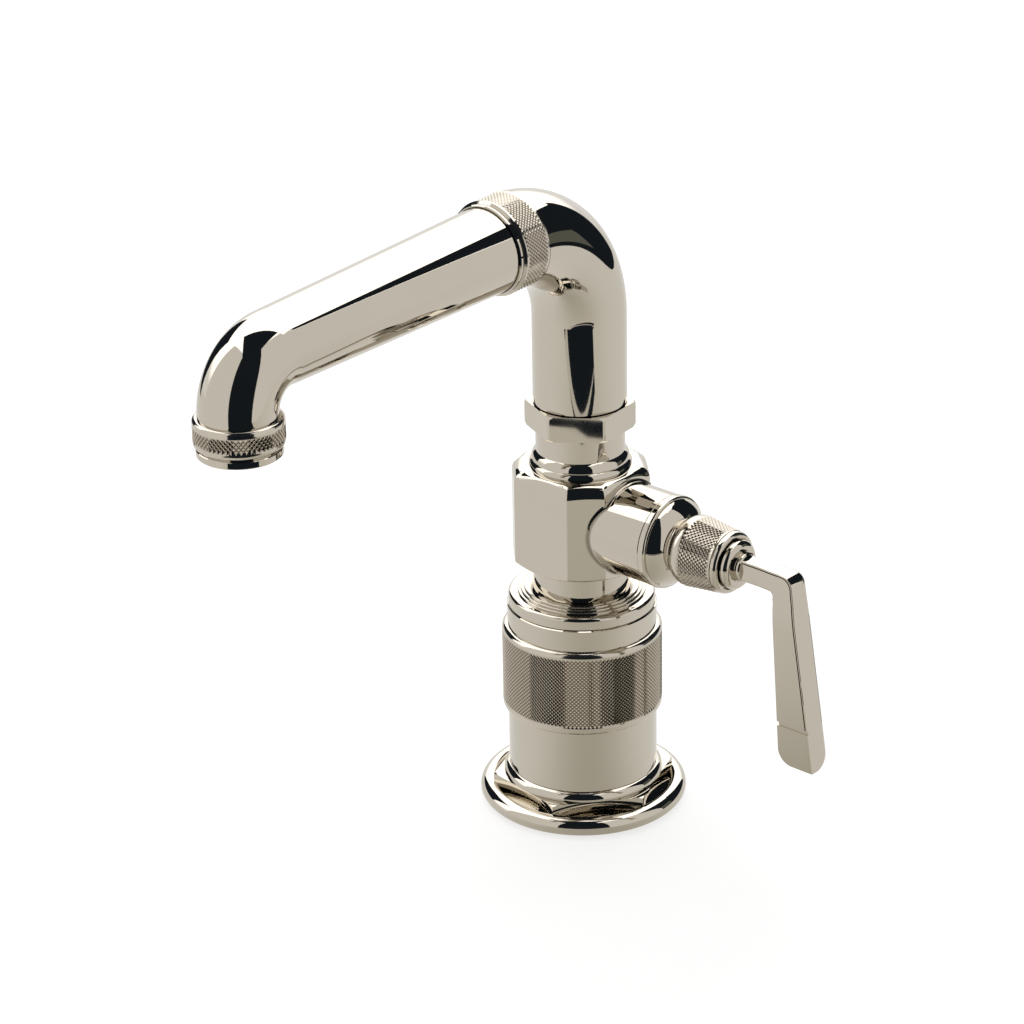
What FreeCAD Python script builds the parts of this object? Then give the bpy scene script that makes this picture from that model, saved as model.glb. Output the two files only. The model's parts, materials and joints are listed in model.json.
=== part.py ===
import FreeCAD, Part
import math
import os
from FreeCAD import Vector

# Bar faucet: an elbow spout that swivels on a column, with one lever on a side valve.
# Millimetres.  Z is up, the origin is the centre of the base on the deck.
# The spout points along -Y, the valve branch and its lever along +X.

# ---- clearances -------------------------------------------------------------------------
FIT = 0.05            # radial gap between parts that are screwed or pressed together
RUN = 0.04            # radial gap of a shaft in its bearing
GAP = 0.3             # gap between faces that pass each other

# ---- base -------------------------------------------------------------------------------
FLANGE_RADIUS = 31.75         # a 2 1/2 inch flange
FLANGE_HEIGHT = 5.9
FLANGE_RIM_WIDTH = 5.1
FLANGE_PLATE = 3.4
GASKET_WIDTH = 3.4
GASKET_THICKNESS = 1.5
GASKET_INSET = 3.2            # from the flange's edge to the gasket
PLINTH_CORNER_INSET = 3.75    # from the flange's edge to a corner of the plinth
PLINTH_TURN = 51.0            # degrees from +X to a corner
PLINTH_HEIGHT = 5.2
PLINTH_EDGE = 0.35
PLINTH_FOOT = 2.6             # height over which the lower corners are turned off
PLINTH_SPIGOT_RADIUS = 22.0
BEAD_RADIUS = 24.5
BEAD_HEIGHT = 2.8
STUD_TAP_RADIUS = 3.4         # M8 mounting stud
STUD_TAP_DEPTH = 9.0
INLET_TAP_RADIUS = 4.5        # M10 x 1 supply hose
INLET_TAP_DEPTH = 9.0
INLET_OFFSET = 9.0            # each inlet's distance from the centre line
SUPPLY_TUBE_RADIUS = 3.0
SUPPLY_TUBE_WALL = 0.8
SOCKET_DEPTH = 4.6

# ---- column -----------------------------------------------------------------------------
COLUMN_RADIUS = 22.75
SLEEVE_LENGTH = 20.0
SLEEVE_BORE_RADIUS = 19.0
SLEEVE_SPIGOT_RADIUS = 21.2
SLEEVE_SPIGOT_LAP = 4.0
KNURL_RING_RADIUS = 24.4
KNURL_RING_LENGTH = 27.4
KNURL_RING_LOW_EDGE = 1.3
KNURL_RING_HIGH_EDGE = 1.8
TOP_SLEEVE_LENGTH = 6.8
CAP_RADIUS = 22.3
CAP_SIDE = 2.8
CAP_SHOULDER = 1.2
CAP_STEP_RADIUS = 19.5         # the outermost of the three steps
CAP_STEP_WIDTH = 0.95
CAP_STEP = 0.6
CAP_HEIGHT = 5.7
CAP_PLATE = 2.0
CORE_RADIUS = 16.5
CORE_THREAD_RADIUS = 13.4
CORE_THREAD_LENGTH = 9.0

# ---- valve body -------------------------------------------------------------------------
NECK_RADIUS = 14.7
NECK_LENGTH = 8.2             # from the cap to the underside of the block
BODY_ACROSS = 36.8            # across the main flats
BODY_FLAT = 20.7              # width of a main flat
BODY_HEIGHT = 31.9
BRANCH_HEIGHT = 15.6          # from the block's underside to the branch's axis
BODY_TURNED_RADIUS = 17.6     # round face left by the turned-off corners
BODY_TURNED_ANGLE = 30.0
BRANCH_RADIUS = 14.0
BRANCH_LENGTH = 33.6          # from the centre line to the branch's end
CHAMBER_RADIUS = 11.0
CHAMBER_FLOOR = 12.5          # from the centre line to the chamber's floor
PORT_RADIUS = 2.2
PORT_SIDE = 5.2
PORT_DROP = 2.5
OUTLET_RISE = 5.2
WATERWAY_RADIUS = 6.0

# ---- swivel -----------------------------------------------------------------------------
SEAT_RADIUS = 15.5
SEAT_HEIGHT = 1.7
SEAT_STEP_RADIUS = 14.9
SEAT_STEP_HEIGHT = 2.9
COLLAR_RADIUS = 13.4
COLLAR_LENGTH = 7.4
COLLAR_SPIGOT_RADIUS = 10.6
COLLAR_SPIGOT_LENGTH = 10.0
NUT_CORNER_RADIUS = 16.8
NUT_HEIGHT = 7.9
NUT_FLAT_RADIUS = 16.0        # where the turned-off corners start
NUT_CORNER_FALL = 0.9
NUT_TURN = 36.0               # degrees from +X to a corner
NUT_THREAD_RADIUS = 11.9
NUT_THREAD_LENGTH = 5.0
TAIL_RADIUS = 8.2
TAIL_BORE_RADIUS = 6.2
TAIL_LAP = 14.0               # length of the tail inside the riser
CLIP_RADIUS = 9.9
CLIP_THICKNESS = 1.6
CLIP_GROOVE_DEPTH = 1.0
CLIP_OPENING = 70.0           # degrees
ORING = 1.8                   # cord of the tail's rings
ORING_FIRST = 5.0             # below the collar's top
ORING_PITCH = 5.0
ORING_COUNT = 2

# ---- spout ------------------------------------------------------------------------------
RISER_RADIUS = 14.05
TUBE_WALL = 1.3
RISER_LENGTH = 27.3           # straight part of the riser
ELBOW_RADIUS = 31.0
ARM_SLOPE = 2.1               # degrees that the arm falls
UNION_BACK = 28.3             # from the riser's axis to the union ring
UNION_RADIUS = 14.15
UNION_LENGTH = 10.6
UNION_EDGE = 0.7
UNION_SPIGOT_WALL = 1.2
UNION_SPIGOT_LENGTH = 6.0
LIP_RADIUS = 13.55
LIP_LENGTH = 1.3
LIP_GROOVE = 0.5
SPOUT_START_RADIUS = 12.9
SPOUT_END_RADIUS = 11.1
ARM_LENGTH = 93.2             # from the elbow's end to the outlet bend
OUTLET_BEND_RADIUS = 14.4
OUTLET_DROP = 0.6
OUTLET_RING_RADIUS = 12.55
OUTLET_RING_LENGTH = 8.0
OUTLET_RING_EDGE = 1.1
AERATOR_RADIUS = 11.85
AERATOR_LIP = 2.2
AERATOR_NECK = 0.7
AERATOR_WALL = 1.6
AERATOR_INSERT_LENGTH = 6.0
AERATOR_WASHER_WIDTH = 2.2
AERATOR_WASHER = 1.2          # thickness
MESH_SLOT_COUNT = 5
MESH_SLOT_WIDTH = 1.6

# ---- cartridge --------------------------------------------------------------------------
SEAL_RADIUS = 3.2
SEAL_HEIGHT = 1.0
CARTRIDGE_BASE = 3.0
DISC_RADIUS = 8.6
DISC_THICKNESS = 3.0
DISC_GAP = 0.1
POCKET_RADIUS = 7.7
POCKET_DEPTH = 1.6
DRIVER_RADIUS = 8.3
DRIVER_THICKNESS = 3.0
SPINDLE_RADIUS = 4.0
HOUSING_END = 2.5
HOUSING_NECK_RADIUS = 6.5
HOUSING_NECK_LENGTH = 6.0
HOUSING_WALL = 1.8
GLAND_NUT_LENGTH = 3.4
GLAND_KEY_RADIUS = 8.7        # to the corners of the key's recess
SPINDLE_ORING = 1.4

# ---- branch cap, hub and lever ----------------------------------------------------------
CAP_BAND_RADIUS = 14.2
CAP_BAND = 2.4
CAP_GROOVE = 0.5
DOME_RADIUS = 13.4
DOME_END_RADIUS = 8.9
DOME_LENGTH = 4.8
DOME_SPIGOT_LENGTH = 2.3
HUB_NECK_RADIUS = 8.2
HUB_NECK_LENGTH = 0.6
HUB_BACK_RADIUS = 8.8
HUB_RADIUS = 10.85
HUB_FRONT_RADIUS = 9.55
HUB_NOSE_RADIUS = 8.9
HUB_LENGTH = 17.1
HUB_FLARE = 3.3
HUB_NOSE = 1.8
HUB_RECESS_RADIUS = 8.0
HUB_RECESS = 1.2
SPINDLE_IN_HUB = 10.8
GRUB_RADIUS = 1.5
GRUB_FROM_BACK = 5.5
BOSS_RADIUS = 7.5
BOSS_SIDE = 2.7
BOSS_DOME = 1.3
BOSS_STEP_RADIUS = 5.6
BOSS_STEP = 0.9
BOSS_TIP_RADIUS = 4.5
BOSS_TIP = 1.2
STEM_RADIUS = 3.1
STEM_SPIGOT = 4.6
STEM_HEIGHT = 6.5
STEM_WIDTH = 6.2
STEM_EDGE = 0.7
STEM_FLARE = 5.0              # length over which the stem widens to the blade
LEVER_REACH = 75.7            # from the centre line to the blade's inner face
BLADE_TOP_THICKNESS = 7.4
BLADE_END_THICKNESS = 12.5
BLADE_DROP = 56.3             # from the branch axis to the blade's tip
BLADE_LEAN = 3.8              # degrees, inner face
BLADE_WIDTH = 9.2
BLADE_TIP_ROUND = 4.4
BLADE_BACK_ROUND = 2.8
BLADE_SHOULDER_ROUND = 1.2
LINE_WIDTH = 0.45
LINE_DEPTH = 0.4
LINE_INSET = 0.5
TIP_LINE_ABOVE_END = 12.6
TIP_LINE_WIDTH = 1.2

FULL_TURN = 360.0
OVERCUT = 0.5                 # how far a cutting solid runs past what it cuts

# ---- places that follow from the sizes above --------------------------------------------
plinth_corner_radius = FLANGE_RADIUS - PLINTH_CORNER_INSET
z_plinth_top = FLANGE_PLATE + PLINTH_HEIGHT
z_bead_top = z_plinth_top + BEAD_HEIGHT
z_knurl_ring = z_bead_top + SLEEVE_LENGTH
z_top_sleeve = z_knurl_ring + KNURL_RING_LENGTH
z_cap = z_top_sleeve + TOP_SLEEVE_LENGTH
z_core_top = z_cap + CAP_HEIGHT - CAP_PLATE - 3 * CAP_STEP
z_body = z_cap + CAP_HEIGHT + NECK_LENGTH
z_branch = z_body + BRANCH_HEIGHT
z_body_top = z_body + BODY_HEIGHT
z_collar_step = z_body_top + SEAT_HEIGHT
z_collar = z_collar_step + SEAT_STEP_HEIGHT
z_nut = z_collar + COLLAR_LENGTH
z_nut_top = z_nut + NUT_HEIGHT
z_riser = z_nut_top + GAP
z_elbow = z_riser + RISER_LENGTH
core_bore_radius = CORE_THREAD_RADIUS + FIT
slope = math.radians(ARM_SLOPE)
elbow_turn = math.pi / 2 + slope
arm_start = ELBOW_RADIUS * (1 - math.cos(elbow_turn))
arm_start_z = z_elbow + ELBOW_RADIUS * math.sin(elbow_turn)
arm_direction = Vector(0, -math.cos(slope), -math.sin(slope))
x_branch_end = BRANCH_LENGTH
x_cap_end = x_branch_end + CAP_BAND + DOME_LENGTH
x_hub = x_cap_end + HUB_NECK_LENGTH + GAP
x_hub_end = x_hub + HUB_LENGTH
x_boss = x_hub_end - HUB_RECESS
x_boss_end = x_boss + BOSS_SIDE + BOSS_DOME + BOSS_STEP + BOSS_TIP


# ---- helpers ----------------------------------------------------------------------------
def turned(profile):
    """A closed solid turned about Z.  Each entry is (radius, height), or
    (radius, height, mid_radius, mid_height) for an arc that ends there."""
    edges = []
    start = profile[0]
    for entry in profile[1:] + [profile[0][:2]]:
        a = Vector(start[0], 0, start[1])
        b = Vector(entry[0], 0, entry[1])
        if len(entry) == 4:
            edges.append(Part.Arc(a, Vector(entry[2], 0, entry[3]), b).toShape())
        elif a.distanceToPoint(b) > 1e-6:
            edges.append(Part.makeLine(a, b))
        start = entry
    face = Part.Face(Part.Wire(edges))
    return face.revolve(Vector(0, 0, 0), Vector(0, 0, 1), FULL_TURN)


def cylinder(radius, low, high, x=0.0, y=0.0):
    return Part.makeCylinder(radius, high - low, Vector(x, y, low))


def ring(outer, inner, low, high):
    return cylinder(outer, low, high).cut(cylinder(inner, low - OVERCUT, high + OVERCUT))


def hexagon(corner_radius, low, high, turn):
    points = []
    for k in range(7):
        angle = math.radians(turn + 60 * k)
        points.append(Vector(corner_radius * math.cos(angle), corner_radius * math.sin(angle), low))
    return Part.Face(Part.makePolygon(points)).extrude(Vector(0, 0, high - low))


def along_branch(shape):
    """Lay a solid that was turned about Z along the valve branch."""
    moved = shape.copy()
    moved.Placement = FreeCAD.Placement(Vector(0, 0, z_branch), FreeCAD.Rotation(Vector(0, 1, 0), 90))
    return moved


def along_arm(shape, distance):
    """Lay a solid turned about Z along the spout's arm, at a distance from the riser's axis."""
    spin = FreeCAD.Rotation(Vector(0, 0, 1), arm_direction)
    moved = shape.copy()
    moved.Placement = FreeCAD.Placement(arm_point(distance), spin)
    return moved


def arm_point(distance):
    return Vector(0, -distance, arm_start_z - (distance - arm_start) * math.tan(slope))


def save(name, shape):
    """Write one piece, after checking that it is made of closed solids."""
    solids = shape.Solids
    if not solids:
        raise ValueError(name + " has no solid")
    for solid in solids:
        if not solid.isValid():
            raise ValueError(name + " is not a valid solid")
    whole = solids[0] if len(solids) == 1 else Part.makeCompound(solids)
    whole.exportStep(os.path.join("parts", name + ".step"))
    print("%-24s %2d solid(s) %10.1f mm3" % (name, len(solids), whole.Volume))


# ---- base -------------------------------------------------------------------------------
def base_flange():
    inner = FLANGE_RADIUS - FLANGE_RIM_WIDTH
    crown = FLANGE_RADIUS - 0.45 * FLANGE_RIM_WIDTH
    foot = FLANGE_RADIUS - 0.18 * FLANGE_RIM_WIDTH
    bore = PLINTH_SPIGOT_RADIUS + FIT
    body = turned([
        (bore, 0), (foot, 0),
        (FLANGE_RADIUS, 0.45 * FLANGE_HEIGHT, FLANGE_RADIUS - 0.1, 0.2 * FLANGE_HEIGHT),
        (crown, FLANGE_HEIGHT, FLANGE_RADIUS - 0.11 * FLANGE_RIM_WIDTH, 0.82 * FLANGE_HEIGHT),
        (inner, FLANGE_PLATE, crown - 0.33 * FLANGE_RIM_WIDTH, 0.87 * FLANGE_HEIGHT),
        (bore, FLANGE_PLATE)])
    outer = FLANGE_RADIUS - GASKET_INSET
    return body.cut(ring(outer, outer - GASKET_WIDTH, -OVERCUT, GASKET_THICKNESS))


def deck_gasket():
    outer = FLANGE_RADIUS - GASKET_INSET - FIT
    return ring(outer, outer - GASKET_WIDTH + 2 * FIT, 0, GASKET_THICKNESS)


def base_plinth():
    block = hexagon(plinth_corner_radius, FLANGE_PLATE, z_plinth_top, PLINTH_TURN)
    turned_off = turned([
        (0, FLANGE_PLATE), (FLANGE_RADIUS - FLANGE_RIM_WIDTH - GAP, FLANGE_PLATE),
        (plinth_corner_radius, FLANGE_PLATE + PLINTH_FOOT),
        (plinth_corner_radius, z_plinth_top - PLINTH_EDGE),
        (plinth_corner_radius - 2 * PLINTH_EDGE, z_plinth_top), (0, z_plinth_top)])
    block = block.common(turned_off)
    spigot = cylinder(PLINTH_SPIGOT_RADIUS, 0, FLANGE_PLATE)
    nose = cylinder(CORE_THREAD_RADIUS, z_plinth_top, z_plinth_top + CORE_THREAD_LENGTH)
    block = block.fuse([spigot, nose])
    stud = cylinder(STUD_TAP_RADIUS, -OVERCUT, STUD_TAP_DEPTH)
    cuts = [stud]
    top = z_plinth_top + CORE_THREAD_LENGTH
    for side in (-1, 1):
        y = side * INLET_OFFSET
        cuts.append(cylinder(INLET_TAP_RADIUS, -OVERCUT, INLET_TAP_DEPTH, 0, y))
        cuts.append(cylinder(SUPPLY_TUBE_RADIUS - SUPPLY_TUBE_WALL, 0, top + OVERCUT, 0, y))
        cuts.append(cylinder(SUPPLY_TUBE_RADIUS + FIT, top - SOCKET_DEPTH, top + OVERCUT, 0, y))
    return block.cut(cuts).removeSplitter()


def base_bead():
    half = BEAD_HEIGHT / 2
    return turned([
        (SLEEVE_BORE_RADIUS, z_plinth_top), (BEAD_RADIUS - half, z_plinth_top),
        (BEAD_RADIUS - half, z_bead_top, BEAD_RADIUS, z_plinth_top + half),
        (SLEEVE_BORE_RADIUS, z_bead_top)])


def supply_tube(side):
    low = z_plinth_top + CORE_THREAD_LENGTH - SOCKET_DEPTH
    high = z_core_top
    tube = cylinder(SUPPLY_TUBE_RADIUS, low, high, 0, side * INLET_OFFSET)
    bore = cylinder(SUPPLY_TUBE_RADIUS - SUPPLY_TUBE_WALL, low - 1, high + 1, 0, side * INLET_OFFSET)
    return tube.cut(bore)


# ---- column -----------------------------------------------------------------------------
def column_core():
    return ring(CORE_RADIUS, core_bore_radius, z_plinth_top, z_core_top)


def column_sleeve():
    top = z_top_sleeve + SLEEVE_SPIGOT_LAP
    return turned([
        (SLEEVE_BORE_RADIUS, z_bead_top), (COLUMN_RADIUS, z_bead_top),
        (COLUMN_RADIUS, z_knurl_ring), (SLEEVE_SPIGOT_RADIUS, z_knurl_ring),
        (SLEEVE_SPIGOT_RADIUS, top), (SLEEVE_BORE_RADIUS, top)])


def knurled_column_ring():
    bore = SLEEVE_SPIGOT_RADIUS + FIT
    low = KNURL_RING_LOW_EDGE
    high = KNURL_RING_HIGH_EDGE
    return turned([
        (bore, z_knurl_ring), (KNURL_RING_RADIUS - low, z_knurl_ring),
        (KNURL_RING_RADIUS, z_knurl_ring + low, KNURL_RING_RADIUS - 0.3 * low, z_knurl_ring + 0.3 * low),
        (KNURL_RING_RADIUS, z_top_sleeve - high),
        (KNURL_RING_RADIUS - high, z_top_sleeve, KNURL_RING_RADIUS - 0.3 * high, z_top_sleeve - 0.3 * high),
        (bore, z_top_sleeve)])


def column_top_sleeve():
    bore = SLEEVE_SPIGOT_RADIUS + FIT
    shelf = z_top_sleeve + SLEEVE_SPIGOT_LAP + FIT
    inner = SLEEVE_BORE_RADIUS + 1
    return turned([
        (bore, z_top_sleeve), (COLUMN_RADIUS, z_top_sleeve), (COLUMN_RADIUS, z_cap - 0.2),
        (COLUMN_RADIUS - 0.3, z_cap), (inner, z_cap), (inner, shelf), (bore, shelf)])


def column_cap():
    """The cap: a rounded shoulder, three fine steps and a shallow dish round the neck."""
    side = z_cap + CAP_SIDE
    deep = side + CAP_SHOULDER
    spigot = SLEEVE_BORE_RADIUS + 1 - FIT
    bore = NECK_RADIUS + FIT
    profile = [
        (spigot - 2, z_cap - SLEEVE_SPIGOT_LAP / 2), (spigot, z_cap - SLEEVE_SPIGOT_LAP / 2),
        (spigot, z_cap), (CAP_RADIUS - 0.3, z_cap), (CAP_RADIUS, z_cap + 0.3),
        (CAP_RADIUS, side),
        (CAP_RADIUS - CAP_SHOULDER, deep - 0.2, CAP_RADIUS - 0.3 * CAP_SHOULDER, deep - 0.5 * CAP_SHOULDER)]
    top = z_cap + CAP_HEIGHT
    for k in range(3):
        r = CAP_STEP_RADIUS - k * CAP_STEP_WIDTH
        low = top - (3 - k) * CAP_STEP
        profile += [(r + 0.3, low), (r + 0.15, low - 0.3), (r, low), (r, low + CAP_STEP - 0.15)]
        profile.append((r - 0.15, low + CAP_STEP))
    dish = top - CAP_STEP
    lip = CAP_STEP_RADIUS - 3 * CAP_STEP_WIDTH + 0.2
    profile += [
        (lip, top), (bore, dish, 0.5 * lip + 0.5 * bore, dish + 0.1),
        (bore, z_core_top), (spigot - 2, z_core_top)]
    return turned(profile)


# ---- valve body -------------------------------------------------------------------------
def body_block():
    """The square block with chamfered corners, its ends turned off like a nut's."""
    half = BODY_ACROSS / 2
    flat = BODY_FLAT / 2
    corners = [(half, -flat), (half, flat), (flat, half), (-flat, half),
               (-half, flat), (-half, -flat), (-flat, -half), (flat, -half), (half, -flat)]
    outline = Part.makePolygon([Vector(x, y, z_body) for x, y in corners])
    block = Part.Face(outline).extrude(Vector(0, 0, BODY_HEIGHT))
    reach = math.hypot(half, flat)
    fall = (reach - BODY_TURNED_RADIUS) * math.tan(math.radians(BODY_TURNED_ANGLE))
    barrel = turned([
        (0, z_body), (BODY_TURNED_RADIUS, z_body), (reach, z_body + fall),
        (reach, z_body_top - fall), (BODY_TURNED_RADIUS, z_body_top), (0, z_body_top)])
    return block.common(barrel)


def valve_body():
    neck = cylinder(NECK_RADIUS, z_core_top, z_body)
    tail_low = z_core_top - CORE_THREAD_LENGTH
    tail = cylinder(CORE_THREAD_RADIUS, tail_low, z_core_top)
    branch = along_branch(cylinder(BRANCH_RADIUS, 0, BRANCH_LENGTH))
    body = body_block().fuse([neck, tail, branch])
    outlet_z = z_branch + OUTLET_RISE
    cuts = [
        along_branch(cylinder(CHAMBER_RADIUS, CHAMBER_FLOOR, BRANCH_LENGTH + OVERCUT)),
        cylinder(COLLAR_SPIGOT_RADIUS + FIT, z_body_top - COLLAR_SPIGOT_LENGTH, z_body_top + OVERCUT),
        cylinder(WATERWAY_RADIUS, outlet_z - PORT_RADIUS, z_body_top),
        Part.makeCylinder(PORT_RADIUS, CHAMBER_FLOOR + 1, Vector(0, 0, outlet_z), Vector(1, 0, 0))]
    bore = SUPPLY_TUBE_RADIUS - SUPPLY_TUBE_WALL
    inlet_z = z_branch - PORT_DROP
    for side in (-1, 1):
        y = side * INLET_OFFSET
        cuts.append(cylinder(bore, tail_low - OVERCUT, inlet_z + PORT_RADIUS, 0, y))
        cuts.append(cylinder(SUPPLY_TUBE_RADIUS + FIT, tail_low - OVERCUT, z_core_top, 0, y))
        start = Vector(-PORT_RADIUS, side * PORT_SIDE, inlet_z)
        cuts.append(Part.makeCylinder(PORT_RADIUS, CHAMBER_FLOOR + PORT_RADIUS + 1, start, Vector(1, 0, 0)))
        middle = Vector(0, side * PORT_SIDE, inlet_z)
        cuts.append(Part.makeCylinder(PORT_RADIUS - FIT, INLET_OFFSET - PORT_SIDE, middle, Vector(0, side, 0)))
    return body.cut(cuts).removeSplitter()


# ---- swivel -----------------------------------------------------------------------------
def swivel_collar():
    spigot_low = z_body_top - COLLAR_SPIGOT_LENGTH
    bearing = TAIL_RADIUS + RUN
    thread_top = z_nut + NUT_THREAD_LENGTH
    shelf = clip_low() - GAP
    pocket = CLIP_RADIUS + GAP
    return turned([
        (bearing, spigot_low), (COLLAR_SPIGOT_RADIUS, spigot_low),
        (COLLAR_SPIGOT_RADIUS, z_body_top), (SEAT_RADIUS, z_body_top),
        (SEAT_RADIUS, z_collar_step - 0.5),
        (SEAT_RADIUS - 0.5, z_collar_step, SEAT_RADIUS - 0.15, z_collar_step - 0.15),
        (SEAT_STEP_RADIUS - 0.4, z_collar_step), (SEAT_STEP_RADIUS - 0.4, z_collar_step + 0.3),
        (SEAT_STEP_RADIUS, z_collar_step + 0.5), (SEAT_STEP_RADIUS, z_collar - 0.8),
        (COLLAR_RADIUS, z_collar, SEAT_STEP_RADIUS - 0.35, z_collar - 0.25),
        (COLLAR_RADIUS, z_nut), (NUT_THREAD_RADIUS, z_nut),
        (NUT_THREAD_RADIUS, thread_top), (pocket, thread_top), (pocket, shelf), (bearing, shelf)])


def swivel_nut():
    block = hexagon(NUT_CORNER_RADIUS, z_nut, z_nut_top, NUT_TURN)
    edge = NUT_CORNER_RADIUS - 0.25
    barrel = turned([
        (0, z_nut), (NUT_FLAT_RADIUS, z_nut), (edge, z_nut + NUT_CORNER_FALL),
        (edge, z_nut_top - NUT_CORNER_FALL), (NUT_FLAT_RADIUS, z_nut_top), (0, z_nut_top)])
    block = block.common(barrel)
    thread_top = z_nut + NUT_THREAD_LENGTH + FIT
    return block.cut([
        cylinder(NUT_THREAD_RADIUS + FIT, z_nut - OVERCUT, thread_top),
        cylinder(TAIL_RADIUS + GAP, z_nut, z_nut_top + OVERCUT)])


def clip_low():
    """The clip lies just under the nut's ledge, so the spout can't lift off."""
    return z_nut + NUT_THREAD_LENGTH - GAP - CLIP_THICKNESS


def tail_low():
    return z_body_top - COLLAR_SPIGOT_LENGTH + GAP


def spout_tail():
    """The turned tail that is fixed in the riser and turns in the collar."""
    top = z_riser + TAIL_LAP
    bulk = cylinder(TAIL_RADIUS, tail_low(), z_riser + FIT)
    bulk = bulk.fuse(cylinder(RISER_RADIUS - TUBE_WALL - FIT, z_riser, top))
    cuts = [cylinder(TAIL_BORE_RADIUS, tail_low() - OVERCUT, top + OVERCUT)]
    groove = TAIL_RADIUS - CLIP_GROOVE_DEPTH
    cuts.append(ring(TAIL_RADIUS + 1, groove, clip_low(), clip_low() + CLIP_THICKNESS))
    for k in range(ORING_COUNT):
        low = oring_low(k)
        cuts.append(ring(TAIL_RADIUS + 1, TAIL_RADIUS - 0.75 * ORING, low, low + ORING))
    return bulk.cut(cuts)


def oring_low(k):
    return z_nut - ORING_FIRST - k * ORING_PITCH


def tail_orings():
    rings = []
    for k in range(ORING_COUNT):
        low = oring_low(k)
        inner = TAIL_RADIUS - 0.75 * ORING
        rings.append(ring(TAIL_RADIUS, inner, low + FIT, low + ORING - FIT))
    return Part.makeCompound(rings)


def retaining_clip():
    inner = TAIL_RADIUS - CLIP_GROOVE_DEPTH + FIT
    low = clip_low() + FIT
    high = clip_low() + CLIP_THICKNESS - FIT
    clip = ring(CLIP_RADIUS, inner, low, high)
    half = math.radians(CLIP_OPENING / 2)
    far = 2 * CLIP_RADIUS
    wedge = Part.makePolygon([
        Vector(0, 0, low - 1), Vector(far * math.sin(half), far * math.cos(half), low - 1),
        Vector(-far * math.sin(half), far * math.cos(half), low - 1), Vector(0, 0, low - 1)])
    return clip.cut(Part.Face(wedge).extrude(Vector(0, 0, CLIP_THICKNESS + 2)))


# ---- spout ------------------------------------------------------------------------------
def riser_and_bend(radius, low):
    """The riser and the elbow as one round bar of the given radius."""
    straight = cylinder(radius, low, z_elbow)
    disc = Part.Face(Part.Wire(Part.makeCircle(radius, Vector(0, 0, z_elbow), Vector(0, 0, 1))))
    pivot = Vector(0, -ELBOW_RADIUS, z_elbow)
    bend = disc.revolve(pivot, Vector(1, 0, 0), math.degrees(elbow_turn))
    return straight.fuse(bend)


def behind_union():
    """A block that covers everything on the riser's side of the union."""
    size = 4 * ELBOW_RADIUS + RISER_LENGTH
    block = Part.makeBox(size, size, size, Vector(-size / 2, -size / 2, -size))
    return along_arm(block, UNION_BACK)


def riser_elbow():
    bar = riser_and_bend(RISER_RADIUS, z_riser).common(behind_union())
    spigot_radius = RISER_RADIUS - TUBE_WALL
    root = along_arm(cylinder(spigot_radius, -2 * TUBE_WALL, UNION_SPIGOT_LENGTH), UNION_BACK)
    bore = riser_and_bend(spigot_radius - UNION_SPIGOT_WALL, z_riser + TAIL_LAP).common(behind_union())
    way = along_arm(cylinder(spigot_radius - UNION_SPIGOT_WALL, -4 * TUBE_WALL, UNION_SPIGOT_LENGTH + 1), UNION_BACK)
    socket = cylinder(RISER_RADIUS - TUBE_WALL, z_riser - 1, z_riser + TAIL_LAP)
    return bar.fuse(root).cut([bore, way, socket]).removeSplitter()


def knurled_union_ring():
    bore = RISER_RADIUS - TUBE_WALL + FIT
    mouth = SPOUT_START_RADIUS + FIT
    seat = UNION_SPIGOT_LENGTH + 0.2
    shape = turned([
        (bore, 0), (UNION_RADIUS - 0.4 * UNION_EDGE, 0), (UNION_RADIUS, 0.4 * UNION_EDGE),
        (UNION_RADIUS, UNION_LENGTH - UNION_EDGE), (UNION_RADIUS - UNION_EDGE, UNION_LENGTH),
        (mouth, UNION_LENGTH), (mouth, seat), (bore, seat)])
    return along_arm(shape, UNION_BACK)


def union_lip():
    low = UNION_LENGTH + LIP_GROOVE
    inner = SPOUT_START_RADIUS + FIT
    round_off = LIP_RADIUS - 0.3
    shape = turned([
        (inner, UNION_LENGTH), (LIP_RADIUS - 0.35, UNION_LENGTH), (LIP_RADIUS - 0.35, low),
        (LIP_RADIUS, low), (LIP_RADIUS, low + 0.5 * LIP_LENGTH),
        (round_off, low + 0.7 * LIP_LENGTH), (inner, low + 0.7 * LIP_LENGTH)])
    return along_arm(shape, UNION_BACK)


def bend_pivot():
    """The centre of the outlet bend, below the arm's end."""
    end = arm_point(arm_start) + arm_direction * ARM_LENGTH
    down = Vector(0, math.sin(slope), -math.cos(slope))
    return end + down * OUTLET_BEND_RADIUS


def outlet_place():
    """Where the spout's end is: its Y and its height."""
    pivot = bend_pivot()
    return pivot.y - OUTLET_BEND_RADIUS, pivot.z - OUTLET_DROP


def spout_bar(start_radius, end_radius, start, extra):
    """The tapered arm, the outlet bend and the drop as one solid bar."""
    run = ARM_LENGTH - (start - arm_start) / math.cos(slope)
    cone = Part.makeCone(start_radius, end_radius, run, arm_point(start), arm_direction)
    end = arm_point(start) + arm_direction * run
    disc = Part.Face(Part.Wire(Part.makeCircle(end_radius, end, arm_direction)))
    pivot = bend_pivot()
    bend = disc.revolve(pivot, Vector(1, 0, 0), 90 - ARM_SLOPE)
    y, z = outlet_place()
    drop = cylinder(end_radius, z - extra, pivot.z, 0, y)
    return cone.fuse([bend, drop])


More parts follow.
